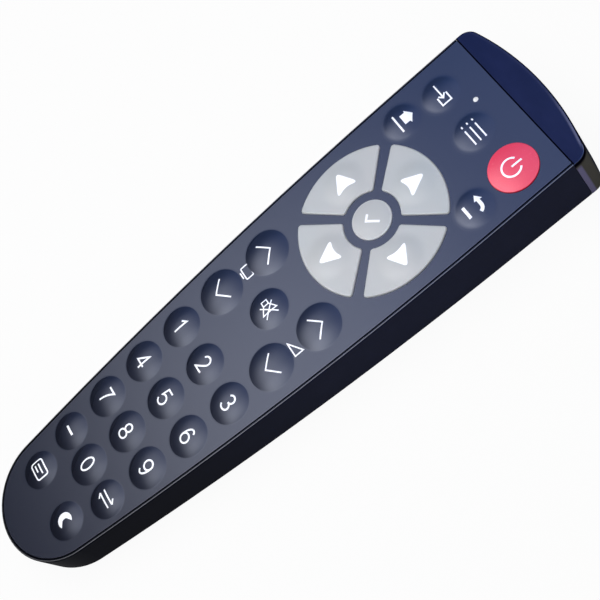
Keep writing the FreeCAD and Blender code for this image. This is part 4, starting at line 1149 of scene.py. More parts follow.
def arrow_outline(length: float, width: float, hollow: float, corner: float) -> np.ndarray:
    """A triangle that points to +y, with rounded corners and a base drawn in.

    Each corner is a parabola that cuts it off, at a shorter distance at the tip. The base is a
    parabola whose middle is drawn in by hollow.

    Args:
        length: from the base to the tip.
        width: of the base.
        hollow: how far the base is drawn in.
        corner: where each rounding starts, from its corner.

    Returns:
        The outline, anticlockwise.
    """
    tip, left, right = (0.0, length / 2), (-width / 2, -length / 2), (width / 2, -length / 2)
    base = (0.0, -length / 2 + 2 * hollow)
    corners = [(right, base, tip, corner), (tip, right, left, corner * 0.8), (left, tip, base, corner)]
    pieces = []
    for at, before, after, reach in corners:
        start, end = (at + reach * unit(np.subtract(other, at)) for other in (before, after))
        pieces.append(bow(tuple(start), at, tuple(end)))
    inner = bow(tuple(pieces[2][-1]), base, tuple(pieces[0][0]))
    return run(pieces[0], pieces[1], pieces[2], inner[1:-1])


def mark_shapes(mark: Mark) -> Shapes:
    """Ink of one mark, centred on the origin.

    Args:
        mark: which mark.

    Returns:
        Its lines and filled areas.
    """
    thin, fine, plain, bold = 0.36, 0.42, 0.48, 0.60
    walls = ((-1.65, 2.3), (-1.65, 0.55), (1.95, 0.55), (1.95, 2.3))
    house = line((0.2, 4.3), (-2.35, 2.5), *walls, (2.75, 2.5))
    shapes: dict[Mark, Shapes] = {
        Mark.DASH: strokes(0.75, line((-1.9, 0), (1.9, 0))),
        Mark.UP: strokes(plain, line((-3.9, -1.75), (0, 1.75), (3.9, -1.75))),
        Mark.DOWN: strokes(plain, line((-3.9, 1.75), (0, -1.75), (3.9, 1.75))),
        Mark.MUTE: strokes(
            thin,
            line((-2.8, -0.95), (-2.8, 0.95), (-1.2, 0.95), (-1.2, -0.95), (-2.8, -0.95)),
            line((-1.2, 0.95), (1.3, 2.6), (1.3, -2.6), (-1.2, -0.95)),
            line((-1.5, 2.3), (2.9, -2.3)),
            line((-1.5, -2.3), (2.9, 2.3)),
        ),
        Mark.POWER: strokes(bold, arc(0, -0.35, 2.9, 2.9, 125, 415), line((0, -0.2), (0, 3.3))),
        Mark.INPUT: strokes(
            plain,
            line((0.8, 1.6), (3.8, 1.6), (3.8, -1.6), (0.8, -1.6)),
            line((-3.8, 0), (1.9, 0)),
            line((0.6, 1.1), (1.9, 0), (0.6, -1.1)),
        ),
        Mark.GUIDE: strokes(
            plain,
            *(line((left, y), (right, y)) for left, right in ((-1.9, 3.9), (-3.9, -3.1)) for y in (1.9, 0.0, -1.9)),
        ),
        Mark.HOME: [Patch(house, (0.15, 2.0)), *strokes(bold, line((-3.3, -1.2), (3.5, -1.2)))],
        Mark.BACK: [
            Patch(line((-1.2, 0.95), (-1.0, 3.5), (-3.15, 2.0)), (-1.8, 2.1)),
            *strokes(1.1, run(line((-1.6, 2.15), (0.6, 2.2)), bow((0.6, 2.2), (2.0, 2.1), (2.4, 0.9)))),
            *strokes(0.95, line((-2.35, -2.6), (2.0, -2.55))),
        ],
        Mark.CHECK: strokes(0.75, line((-2.2, -0.1), (-0.6, -1.6), (2.4, 1.6))),
        Mark.CAPTION: strokes(
            plain, rounded_box(6.0, 4.2, 0.8), line((-1.9, 0.5), (1.9, 0.5)), line((-1.9, -0.8), (0.6, -0.8))
        ),
        Mark.SLEEP: [moon(2.5)],
        Mark.RECALL: strokes(
            plain,
            line((-2.9, 0.8), (2.7, 0.8)),
            line((1.5, 1.9), (2.9, 0.8)),
            line((2.9, -0.8), (-2.7, -0.8)),
            line((-1.5, -1.9), (-2.9, -0.8)),
        ),
        Mark.SCREEN: strokes(
            fine, rounded_box(4.4, 2.7, 0.4) + np.array([0, 0.35]), line((-1.2, -1.75), (1.2, -1.75))
        ),
        Mark.LOUDNESS: strokes(fine, line((2.4, 1.55), (-2.6, -1.45), (2.4, -1.45), (2.4, 1.55))),
    }
    return shapes[mark]


def rounded_box(width: float, height: float, corner: float) -> np.ndarray:
    """A closed path round a box with round corners.

    Args:
        width: side along x.
        height: side along y.
        corner: radius of the corners.

    Returns:
        The path, which ends where it starts.
    """
    x, y = width / 2 - corner, height / 2 - corner
    middles = [(x, y), (-x, y), (-x, -y), (x, -y)]
    parts = [arc(*at, corner, corner, 90 * turn, 90 * turn + 90) for turn, at in enumerate(middles)]
    return run(*parts, parts[0][:1])


def moon(radius: float) -> Patch:
    """A crescent between a circle and a second one that bites into its right side.

    Args:
        radius: of the first circle.

    Returns:
        The crescent, with a centre in its thickest part.
    """
    outer = arc(0, 0, radius, radius, 55, 305)
    inner = arc(radius * 0.62, 0, radius * 0.80, radius * 0.82, 268, 92)
    return Patch(run(outer, inner), (-radius * 0.55, 0))


Surface = Callable[[np.ndarray, np.ndarray], np.ndarray]
Printed = tuple[np.ndarray, np.ndarray, np.ndarray, np.ndarray]


@dataclass
class Printer:
    """Lays ink on a curved surface as thin closed meshes.

    Attributes:
        thickness: height of the ink over the surface, in millimetres.
        layer: how much higher each line lies than the one before, as a share of that.
        sink: depth of its foot under the surface.
        step: longest run between two points of a line.
        sharpest: cosine of the sharpest half turn at which a line keeps its width.
    """

    thickness: float = 0.02
    layer: float = 0.15
    sink: float = 0.02
    step: float = 0.35
    sharpest: float = 0.45

    def print(self, name: str, shapes: Shapes, centre: Pair, surface: Surface, slot: str) -> bpy.types.Object:
        """Print shapes on a surface.

        Args:
            name: the printed piece; the ink's name is made from it.
            shapes: the ink, around the origin.
            centre: where the origin lies on the deck.
            surface: gives the deck height at arrays of x and y.
            slot: meant as the ink's material slot; not used.

        Returns:
            One object with all the ink.
        """
        points, quads, fans, start = [], [], [], 0
        for order, shape in enumerate(shapes):
            part = self._stroke(shape) if isinstance(shape, Stroke) else self._patch(shape)
            flat, level, part_quads, part_fans = part
            spot = flat + np.array(centre)
            height = surface(spot[:, 0], spot[:, 1])
            rise = self.thickness * (1 + order * self.layer)
            height = height + np.where(level > 0, rise, -self.sink)
            points.append(np.column_stack([spot, height]))
            quads.append(part_quads + start)
            fans.append(part_fans + start)
            start += len(flat)
        ink = new_mesh(f"{name}_print", DECK.place(np.concatenate(points)), np.concatenate(quads), fans)
        sharp_by_angle(ink, degrees=40)
        DRESSER.dress(ink, PALETTE.ink, slot)
        return ink

    def _stroke(self, stroke: Stroke) -> Printed:
        """Carry a flat rectangle along the path, with mitred corners.

        At each point the section lies on the mean of the two normals, lengthened by
        1 / cos(half the turn), so that both runs keep their width.

        Args:
            stroke: the line.

        Returns:
            Its points, their levels, 1 on top and 0 at the foot, its quads and its triangles.
        """
        path = self._divided(stroke.path)
        closed = np.linalg.norm(path[0] - path[-1]) < CLOSE
        if closed:
            path = path[:-1]
        into = path - np.roll(path, 1, axis=0)
        out = np.roll(path, -1, axis=0) - path
        if not closed:
            into[0], out[-1] = out[0], into[-1]
        into, out = unit(into), unit(out)
        normal = unit(np.stack([-(into + out)[:, 1], (into + out)[:, 0]], 1))
        cosine = np.abs(normal[:, 0] * -into[:, 1] + normal[:, 1] * into[:, 0])
        offset = normal * (stroke.width / 2 / np.maximum(cosine, self.sharpest))[:, None]
        left, right = path + offset, path - offset
        count = len(path)
        flat = np.stack([left, right, right, left], 1).reshape(-1, 2)
        level = np.tile([1, 1, 0, 0], count)
        ring = np.arange(count)[:, None] * 4
        following = ((np.arange(count) + 1) % count)[:, None] * 4
        if not closed:
            ring, following = ring[:-1], following[:-1]
        side = np.arange(4)[None]
        beside = (side + 1) % 4
        quads = np.stack([ring + beside, following + beside, following + side, ring + side], -1).reshape(-1, 4)
        if not closed:
            last = 4 * (count - 1)
            quads = np.concatenate([quads, [[0, 1, 2, 3], [last + 3, last + 2, last + 1, last]]])
        return flat, level, quads, np.zeros((0, 3), int)

    def _divided(self, path: np.ndarray) -> np.ndarray:
        """Add points so that no run is longer than the step.

        Args:
            path: the points of a path.

        Returns:
            The same path with more points.
        """
        lengths = np.linalg.norm(np.diff(path, axis=0), axis=1)
        counts = np.maximum(1, np.ceil(lengths / self.step).astype(int))
        along = np.concatenate([np.arange(n) / n + i for i, n in enumerate(counts)] + [[len(counts)]])
        index = np.arange(len(path))
        return np.stack([np.interp(along, index, path[:, axis]) for axis in (0, 1)], 1)

    def _patch(self, patch: Patch) -> Printed:
        """Fill an outline with rings that shrink to its centre, and close it below.

        Args:
            patch: the area.

        Returns:
            The same as for a stroke.
        """
        outline = self._divided(np.concatenate([patch.outline, patch.outline[:1]]))[:-1]
        centre = np.array(patch.centre)
        scales = np.linspace(0, 1, 5)[1:]
        rings = centre + scales[:, None, None] * (outline - centre)
        count, rows = len(outline), len(scales)
        flat = np.concatenate([rings.reshape(-1, 2), outline, centre[None], centre[None]])
        level = np.concatenate([np.ones(rows * count), np.zeros(count), [1, 0]])
        quads = grid_faces(rows + 1, count, True)[:, ::-1]
        last = (rows + 1) * count
        fans = [fan_faces(last, 0, count, False), fan_faces(last + 1, rows * count, count, True)]
        return flat, level, quads, np.concatenate(fans)


# Sub-assemblies
@dataclass
class RoundKey:
    """A round key with a mark.

    Attributes:
        node: the key in the frame.
        mark: shapes printed on it.
    """

    node: str
    mark: Shapes

    @cached_property
    def spot(self) -> Spot:
        """The key's place, read from the frame."""
        return key_spot(self.node)


@dataclass
class MembraneKey(RoundKey):
    """A soft key: the sealed skin that runs from the face over a key's dome.

    Attributes:
        crown: height of the dome over the face.
        foot: width over which the dome runs out into the face.
        skin: thickness of the skin.
        lift: height of its rim over the face.
        reach: width of that rim.
        still: height up to which the skin would stay with the face; build works out its place but does not use it.
        led: height from which the skin would follow the key, as a share of the crown; build works out its place but
            does not use it.
    """

    crown: float
    foot: float
    skin: float = 0.03
    lift: float = 0.004
    reach: float = 0.3
    still: float = 0.03
    led: float = 0.5

    @property
    def outer(self) -> float:
        """Radius at which the dome meets the face."""
        return self.spot.radius + HOLE_CLEARANCE

    def rise(self, away: np.ndarray) -> np.ndarray:
        """Height of the skin at a distance r from the key's axis.

        The cap is crown - a r^2 up to inner = outer - foot. From there to outer the foot is
        b (outer - r)^2. With a = crown / (inner outer) and b = crown / (outer foot), height
        and slope agree where they meet. Past outer the skin is flat.

        Args:
            away: distances r.

        Returns:
            Their heights over the face.
        """
        inner = self.outer - self.foot
        cap = self.crown - self.crown / (inner * self.outer) * away**2
        foot = self.crown / (self.outer * self.foot) * np.maximum(self.outer - away, 0) ** 2
        return np.where(away < inner, cap, foot) + self.lift

    def height(self, x: np.ndarray, y: np.ndarray) -> np.ndarray:
        """Height of the skin at points of the deck."""
        return self.rise(np.hypot(x - self.spot.x, y - self.spot.y))

    def build(self) -> None:
        """Make the skin and its print."""
        inner = self.outer - self.foot
        foot = np.linspace(inner, self.outer, 9)[1:]
        rim = self.outer + np.array([0.5, 1.0]) * self.reach
        steps = np.concatenate([dome_rings(inner), foot, rim])
        top = np.column_stack([steps, self.rise(steps)])
        top[-1, 1] = -self.skin / 2
        profile = np.concatenate([top, top[::-1] - [0, self.skin]])
        peak = self.crown + self.lift
        skin = turned(f"{self.node}_skin", self.spot.centre, profile, (peak, peak - self.skin))
        DRESSER.dress(skin, PALETTE.face, "key_navy")
        ink = Printer().print(self.node, self.mark, self.spot.centre, self.height, "key_navy")
        low, high = DECK.place(np.array([[0, 0, self.still], [0, 0, self.crown * self.led]]))
        for piece in (skin, ink):
            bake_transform(piece)
        LOG.info("membrane over %s", self.node)


@dataclass
class HardCap(RoundKey):
    """A crisp round key: a cap with a short wall, a rounded edge and a dome.

    Attributes:
        wall: height of the wall over the face.
        edge: radius of the rounded edge.
        crown: height of the middle over the face.
        finish: finish of the cap.
        slot: meant as the cap's material slot; not used.
        cover: reach of the cap past the key under it.
        base: height of its foot over the face.
    """

    wall: float
    edge: float
    crown: float
    finish: Silicone
    slot: str
    cover: float = 0.10
    base: float = 0.02

    def height(self, x: np.ndarray, y: np.ndarray) -> np.ndarray:
        """Height of the dome: wall plus (crown - wall) (1 - (r/R)^2).

        Args:
            x: places across the deck.
            y: places along it.

        Returns:
            Heights over the face there.
        """
        radius = self.spot.radius + self.cover - self.edge
        away = np.hypot(x - self.spot.x, y - self.spot.y)
        return self.wall + (self.crown - self.wall) * (1 - (away / radius) ** 2)

    def build(self) -> None:
        """Turn the profile about the key's axis and print the mark."""
        outer = self.spot.radius + self.cover
        inner = outer - self.edge
        domed = dome_rings(inner)
        bend = np.radians(np.linspace(80, 0, 8))
        radius = np.concatenate([domed, inner + self.edge * np.cos(bend), [outer]])
        foot = self.wall - self.edge
        crown_line = self.height(self.spot.x + domed, np.full(len(domed), self.spot.y))
        level = np.concatenate([crown_line, foot + self.edge * np.sin(bend), [self.base]])
        ends = (self.crown, self.base)
        cap = turned(f"{self.node}_cap", self.spot.centre, np.column_stack([radius, level]), ends)
        sharp_by_angle(cap, degrees=50)
        DRESSER.dress(cap, self.finish, self.slot)
        ink = Printer().print(self.node, self.mark, self.spot.centre, self.height, self.slot)
        for piece in (cap, ink):
            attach(piece, f"{self.node}_body")
        LOG.info("cap over %s", self.node)


@dataclass
class ArrowPad:
    """One sector of the arrow ring, with its soft swelling and its arrow.

    Attributes:
        node: the pad under the cap.
        angle: direction of the pad from the ring's centre, in degrees, 90 towards the head.
        inner: radius of its inner arc, before the cover.
        outer: radius of its outer arc.
        gap_inner: width of the gap between two pads at the inner arc.
        gap_outer: the same at the outer arc.
        corner: radius of its corners.
        cover: reach of the cap past that outline.
        top: height of its flat part over the face.
        edge: radius of its rounded edge.
        swell_place: distance of the swelling's centre from the ring's centre.
        swell_rise: height of the swelling.
        swell_flat: radius of its flat middle.
        swell_reach: radius at which it ends.
        arrow_place: distance of the arrow from the ring's centre.
        arrow: its length, its width, how far its base is drawn in, and its corners' reach.
        base: height of its foot over the face.
    """

    node: str
    angle: float
    inner: float = 9.3
    outer: float = 24.0
    gap_inner: float = 2.9
    gap_outer: float = 3.9
    corner: float = 0.9
    cover: float = 0.10
    top: float = 0.53
    edge: float = 0.42
    swell_place: float = 16.4
    swell_rise: float = 0.47
    swell_flat: float = 2.6
    swell_reach: float = 8.0
    arrow_place: float = 16.7
    arrow: tuple[float, float, float, float] = (7.4, 8.0, 0.75, 2.1)
    base: float = 0.02

    def local(self, x: np.ndarray, y: np.ndarray) -> tuple[np.ndarray, np.ndarray]:
        """Turn deck points so that the pad points to +y."""
        turn = math.radians(90 - self.angle)
        return x * math.cos(turn) - y * math.sin(turn), x * math.sin(turn) + y * math.cos(turn)

    def height(self, x: np.ndarray, y: np.ndarray) -> np.ndarray:
        """Height of the pad: flat, plus a swelling of rise (1 + cos(pi a)) / 2.

        a is 0 within swell_flat of the swelling's centre and 1 from swell_reach outwards.

        Args:
            x: places across the deck.
            y: places along it.

        Returns:
            Heights over the face there.
        """
        across, along = self.local(x, y)
        away = np.hypot(across, along - self.swell_place) - self.swell_flat
        away = np.clip(away / (self.swell_reach - self.swell_flat), 0, 1)
        return self.top + self.swell_rise * (1 + np.cos(np.pi * away)) / 2

    def outline(self) -> tuple[np.ndarray, np.ndarray]:
        """Outline of the pad with its outward normals, for a pad that points to +y.

        Each side is a line between the two arcs, and each of the four corners is an arc of
        the corner's radius that touches its two neighbours.

        Returns:
            Points and normals, anticlockwise from the right side's outer end.
        """
        corners = []
        for radius, gap in ((self.inner, self.gap_inner), (self.outer, self.gap_outer)):
            along = math.sqrt(radius**2 - (gap / 2) ** 2)
            corners.append(np.array([along - gap / 2, along + gap / 2]) / math.sqrt(2))
        start, end = corners
        side = unit(end - start)
        away = np.array([side[1], -side[0]])
        centres = []
        for radius, sign in ((self.outer, -1), (self.inner, 1)):
            base = start - away * self.corner
            target = radius + sign * self.corner
            half = base @ side
            reach = -half + math.sqrt(half**2 - base @ base + target**2)
            centres.append(base + side * reach)
        top, low = centres
        right = math.atan2(away[1], away[0])
        top_way = math.atan2(top[1], top[0])
        low_way = math.atan2(-low[1], -low[0])
        across = heading(np.linspace(top_way, math.pi - top_way, 30)[1:-1])
        under = heading(np.linspace(-low_way, math.pi + low_way, 20)[1:-1])
        round_top, round_low = self._bend(top, right, top_way), self._bend(low, low_way, right)
        mirror = np.array([-1, 1])
        left_top, left_low = ([row[::-1] * mirror for row in bend] for bend in (round_top, round_low))
        straight = self._straight(round_low[0][-1], round_top[0][0], away)
        back = self._straight(left_top[0][-1], left_low[0][0], away * mirror)
        parts = [round_top, (across * self.outer, across), left_top, back, left_low]
        parts += [(under * self.inner, -under), round_low, straight]
        points, normals = (np.concatenate(rows) for rows in zip(*parts))
        return points + normals * self.cover, normals

    def _bend(self, centre: np.ndarray, start: float, end: float) -> tuple[np.ndarray, np.ndarray]:
        """A corner arc: centre + corner (cos t, sin t).

        Args:
            centre: its centre.
            start: its first direction t, in radians.
            end: its last direction.

        Returns:
            Its points and their normals.
        """
        normal = heading(np.linspace(start, end, 8))
        return centre + normal * self.corner, normal

    def _straight(self, start: np.ndarray, end: np.ndarray, normal: np.ndarray) -> tuple[np.ndarray, np.ndarray]:
        """Points and normals of a straight side, without its ends."""
        share = np.linspace(0, 1, 14)[1:-1, None]
        return start + share * (end - start), np.broadcast_to(normal, (len(share), 2))

    def build(self) -> None:
        """Make the cap from rings that follow the outline inwards, and print the arrow."""
        edge_points, normals = self.outline()
        turn = math.radians(self.angle - 90)
        spin = np.array([[math.cos(turn), -math.sin(turn)], [math.sin(turn), math.cos(turn)]])
        bend = np.radians(np.linspace(0, 90, 7))
        insets = self.edge * (1 - np.cos(bend))
        drops = self.edge * (1 - np.sin(bend))
        shells = edge_points - insets[:, None, None] * normals
        middle = np.array([0.0, self.swell_place])
        share = np.linspace(0, 1, 22)[1:-1, None, None]
        filled = shells[-1] * (1 - share) + middle * share
        flat = np.concatenate([edge_points[None], shells, filled])[::-1] @ spin.T
        drop = np.concatenate([[0], drops, np.zeros(len(share))])[::-1]
        level = self.height(flat[..., 0], flat[..., 1]) - drop[:, None]
        level[-1] = self.base
        rings = np.concatenate([flat, level[..., None]], -1)
        centre = spin @ middle
        peak = np.array([*centre, self.top + self.swell_rise])
        cap = closed_stack(f"{self.node}_cap", rings, peak, np.array([*centre, self.base]))
        sharp_by_angle(cap, degrees=55)
        DRESSER.dress(cap, PALETTE.pad, "key_grey")
        arrow = arrow_outline(*self.arrow) @ spin.T
        place = spin @ np.array([0.0, self.arrow_place])
        ink = Printer().print(self.node, [Patch(arrow, (0, 0))], tuple(place), self.height, "key_grey")
        for piece in (cap, ink):
            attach(piece, f"{self.node}_body")
        LOG.info("cap over %s", self.node)


@dataclass
class Keypad:
    """All keys, with their skins, caps and marks.

    Attributes:
        dome_crown: height of a digit or channel dome.
        soft_crown: height of the four flat domes at the head.
        dome_foot: width of a dome's crisp foot.
        soft_foot: width of a flat dome's soft foot.
        power_cap: wall, edge and crown of the power key's cap.
        enter_cap: the same for the enter key.
    """

    dome_crown: float = 0.89
    soft_crown: float = 0.63
    dome_foot: float = 0.3
    soft_foot: float = 1.3
    power_cap: Triple = (0.42, 0.30, 1.12)
    enter_cap: Triple = (0.40, 0.30, 0.78)

    def membranes(self) -> list[MembraneKey]:
        """The soft keys.

        Returns:
            The flat ones at the head, those with other marks, and the digits.
        """
        head = {"input_key": Mark.INPUT, "guide_key": Mark.GUIDE, "home_key": Mark.HOME, "back_key": Mark.BACK}
        domes = {
            "channel_up": Mark.UP,
            "channel_down": Mark.DOWN,
            "mute_key": Mark.MUTE,
            "volume_up": Mark.UP,
            "volume_down": Mark.DOWN,
            "dash_key": Mark.DASH,
            "recall_key": Mark.RECALL,
            "caption_key": Mark.CAPTION,
            "sleep_key": Mark.SLEEP,
        }
        soft, crisp = (self.soft_crown, self.soft_foot), (self.dome_crown, self.dome_foot)
        keys = [MembraneKey(node, mark_shapes(mark), *soft) for node, mark in head.items()]
        keys += [MembraneKey(node, mark_shapes(mark), *crisp) for node, mark in domes.items()]
        return keys + [MembraneKey(f"digit_{n}", strokes(DIGIT_WIDTH, *digit_paths(n)), *crisp) for n in range(10)]

    def build(self) -> None:
        """Build every key's visible part."""
        for key in self.membranes():
            key.build()
        HardCap("power_key", mark_shapes(Mark.POWER), *self.power_cap, PALETTE.power, "key_red").build()
        HardCap("enter_key", mark_shapes(Mark.CHECK), *self.enter_cap, PALETTE.pad, "key_grey").build()
        for node, angle in (("nav_up", 90), ("nav_left", 180), ("nav_down", 270), ("nav_right", 0)):
            ArrowPad(node, angle).build()


@dataclass
class IndicatorLens:
    """The bead on top of the indicator's light pipe.

    Attributes:
        x: its place across the face.
        y: its place along the face.
        radius: radius of the bead.
        crown: height of its middle over the face.
        depth: depth of its foot under the face.
    """

    x: float = -8.2
    y: float = 45.1
    radius: float = 0.8
    crown: float = 0.2
    depth: float = 0.1

    def build(self) -> None:
        """Turn the cap crown (1 - (r/R)^2) about the pipe's axis."""
        away = dome_rings(self.radius, 8)
        level = self.crown * (1 - (away / self.radius) ** 2)
        profile = np.column_stack([np.append(away, self.radius), np.append(level, -self.depth)])
        bead = turned("indicator_bead", (self.x, self.y), profile, (self.crown, -self.depth), AROUND // 2)
        sharp_by_angle(bead, degrees=50)
        DRESSER.dress(bead, PALETTE.lamp, "light_pipe")
        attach(bead, "housing")
        LOG.info("bead on the light pipe")


@dataclass
class FacePrint:
    """The two marks that are printed on the face between the channel and the volume keys.

    Attributes:
        screen: place of the small screen.
        loudness: place of the wedge.
    """

    screen: Pair = (-15.4, -39.7)
    loudness: Pair = (15.9, -40.2)

    def build(self) -> None:
        """Print both marks on the flat face."""
        for name, mark, centre in (("screen", Mark.SCREEN, self.screen), ("loudness", Mark.LOUDNESS, self.loudness)):
            ink = Printer().print(name, mark_shapes(mark), centre, lambda x, y: np.zeros_like(x), "face_navy")
            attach(ink, "housing")
            LOG.info("printed %s", name)


@dataclass
class Construction:
    """The frame's own nodes, which keep their shape and get their finishes.

    Attributes:
        bare_end: length of bare steel at a cell's flat end, in millimetres.
        bare_nub: the same at the end with the nub.
        band: length of the coloured band beside the nub.
    """

    bare_end: float = 0.4
    bare_nub: float = 1.4
    band: float = 11.0

    def finishes(self) -> dict[str, Finish]:
        """Finish of each node.

        Returns:
            By the node's name, the finish given here, or else the face's.
        """
        groups = [
            (PALETTE.case, ["back_shell", "battery_door"]),
            (PALETTE.window, ["ir_window"]),
            (PALETTE.plate, ["front_frame"]),
            (PALETTE.web, ["keymat_web"]),
            (PALETTE.board, ["circuit_board"]),
            (PALETTE.contact, ["contact_pads"]),
            (PALETTE.lamp, ["indicator_light_pipe", "indicator_led"]),
            (PALETTE.emitter, ["ir_led_left", "ir_led_right"]),
            (PALETTE.epoxy, ["controller_chip", "driver_transistor", "resistors"]),
            (PALETTE.resonator, ["resonator"]),
            (PALETTE.sleeve, ["capacitor"]),
            (PALETTE.spring, ["bridge_contact", "positive_contact", "negative_contact"]),
            (PALETTE.screw, ["case_screws"]),
            (PALETTE.power, ["power_key"]),
            (PALETTE.pad, ["enter_key", "nav_up", "nav_down", "nav_left", "nav_right"]),
            (self.jacket("battery_1", 1), ["battery_1"]),
            (self.jacket("battery_2", -1), ["battery_2"]),
        ]
        named = {node: finish for finish, nodes in groups for node in nodes}
        return {node: named.get(node, PALETTE.face) for node in frame["nodes"]}

    def jacket(self, node: str, way: int) -> CellJacket:
        """Jacket of a cell, from the box of its node.

        Args:
            node: the cell.
            way: 1 with its nub towards the head, -1 towards the tail.

        Returns:
            Its finish.
        """
        low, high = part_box(node)
        first, last = (self.bare_end, self.bare_nub)[::way]
        ends = (low.y / MM + first, high.y / MM - last)
        edge = ends[max(way, 0)] - way * self.band
        return CellJacket(f"{node}_jacket", ends, edge, way)

    def dress(self) -> None:
        """Give every node its finish."""
        for node, finish in self.finishes().items():
            DRESSER.paint(frame["nodes"][node], finish)
        LOG.info("dressed %d nodes", len(frame["nodes"]))


# Studio
@dataclass
class Softbox:
    """A soft rectangular lamp that hangs level with the face and shines down on it.

    Attributes:
        name: the lamp's name.
        middle: its middle, in deck millimetres.
        size: its sides along x and y, in millimetres.
        glow: its brightness, where 1 is as bright as white paper.
    """

    name: str = "fill_lamp"
    middle: Triple = (-75.0, -60.0, 413.0)
    size: Pair = (540.0, 420.0)
    glow: float = 2.2

    def build(self) -> None:
        """Hang the lamp; its power is glow times pi times its area."""
        lamp = bpy.data.lights.new(self.name, "AREA")
        lamp.shape = "RECTANGLE"
        lamp.size, lamp.size_y = self.size[0] * MM, self.size[1] * MM
        lamp.energy = self.glow * math.pi * lamp.size * lamp.size_y
        holder = bpy.data.objects.new(self.name, lamp)
        bpy.context.scene.collection.objects.link(holder)
        holder.visible_glossy = False
        place = Vector(DECK.place(np.array(self.middle)))
        holder.matrix_world = Matrix.Translation(place) @ Matrix.Rotation(DECK.tilt, 4, "X")


@dataclass
class Card:
    """A level card over the face that only reflections see.

    Attributes:
        name: the card's name.
        height: height over the face, in millimetres.
        x_ends: the card's ends along x.
        y_ends: the card's ends along y.
    """

    name: str
    height: float
    x_ends: Pair
    y_ends: Pair

    def paint(self, shader: Shader) -> Wire:
        """Make the card's surface; here it is black."""
        return shader.node("ShaderNodeEmission", {}, {"Strength": 0.0})

    def build(self) -> None:
        """Hang the card, face down."""
        (left, right), (low, high) = self.x_ends, self.y_ends
        corners = [(left, low), (left, high), (right, high), (right, low)]
        points = np.array([(x, y, self.height) for x, y in corners])
        card = new_mesh(self.name, DECK.place(points), np.array([[0, 1, 2, 3]]), [])
        shader = Shader(self.name)
        shader.tree.nodes.remove(shader.principled)
        shader.surface(self.paint(shader))
        card.data.materials.append(shader.owner)
        card.visible_camera = card.visible_diffuse = card.visible_shadow = False


@dataclass
class SheenCard(Card):
    """The light that lies on the face as a satin sheen, graded like a window's.

    Attributes:
        fade: places along x between which the glow starts and is full.
        rise: places along x between which it grows on to its brightest.
        gain: how much it grows there.
        side_fade: places along x between which it sinks to side_rest.
        side_rest: share of it that is left there.
        end_fade: places along x between which that rest ends.
        tail_fade: places along y between which it starts and is full.
        head_fade: places along y between which it cools to the head colour.
        middle: glow and colour over the middle of the face.
        head: the same over the head.
        haze: glow and colour of the haze all over the card.
        haze_fade: places along y between which the haze grows to full.
        haze_rest: share of it that is left at the tail.
        haze_side: places along x between which it grows from half to full.
    """

    name: str = "sheen_card"
    height: float = 413.0
    x_ends: Pair = (-1100.0, 300.0)
    y_ends: Pair = (-1000.0, 700.0)
    fade: Pair = (-503.0, -214.0)
    rise: Pair = (-176.0, -96.0)
    gain: float = 0.49
    side_fade: Pair = (-28.0, 45.0)
    side_rest: float = 0.22
    end_fade: Pair = (150.0, 290.0)
    tail_fade: Pair = (-440.0, -215.0)
    head_fade: Pair = (-275.0, 75.0)
    middle: Color = (31.4, 30.2, 30.4)
    head: Color = (2.35, 2.3, 2.8)
    haze: Color = (0.7, 1.75, 5.1)
    haze_fade: Pair = (-540.0, -187.0)
    haze_rest: float = 0.1
    haze_side: Pair = (-620.0, -360.0)

    def paint(self, shader: Shader) -> Wire:
        """Grade the glow along both sides and lay the haze over it.

        Args:
            shader: the card's nodes.

        Returns:
            Its surface.
        """
        along, across = shader.along(), shader.axis(0)
        level = across.step(*self.fade) * (across.step(*self.rise) * self.gain + 1)
        level = level * (1 - across.step(*self.side_fade) * (1 - self.side_rest))
        level = level * along.step(*self.tail_fade) * (1 - across.step(*self.end_fade))
        color = shader.mix(along.step(*self.head_fade), self.middle, self.head)
        glow = shader.node("ShaderNodeEmission", {}, {"Color": color, "Strength": level})
        strength = along.step(*self.haze_fade) * (1 - self.haze_rest) + self.haze_rest
        strength = strength * (across.step(*self.haze_side) * 0.5 + 0.5)
        haze = shader.node("ShaderNodeEmission", {}, {"Color": self.haze, "Strength": strength})
        return shader.node("ShaderNodeAddShader", {}, {0: glow, 1: haze})


@dataclass
class DuskFlag(Card):
    """A low dark card with a soft edge that takes the sheen from the tail.

    Attributes:
        edge: places along y between which the card turns from opaque to clear.
        dim: places along y between which its faint glow starts and is full.
        side: the same along x.
        dusk: that glow.
    """

    name: str = "dusk_flag"
    height: float = 100.0
    x_ends: Pair = (-600.0, 300.0)
    y_ends: Pair = (-900.0, 300.0)
    edge: Pair = (-276.0, 280.0)
    dim: Pair = (-220.0, -205.0)
    side: Pair = (-269.0, -92.0)
    dusk: Color = (0.24, 0.26, 0.38)

    def paint(self, shader: Shader) -> Wire:
        """Mix the faint glow with clear.

        Args:
            shader: the card's nodes.

        Returns:
            Its surface.
        """
        along = shader.along()
        strength = along.step(*self.dim) * shader.axis(0).step(*self.side)
        glow = shader.node("ShaderNodeEmission", {}, {"Color": self.dusk, "Strength": strength})
        clear = shader.node("ShaderNodeBsdfTransparent", {}, {})
        return shader.node("ShaderNodeMixShader", {}, {0: along.step(*self.edge), 1: glow, 2: clear})


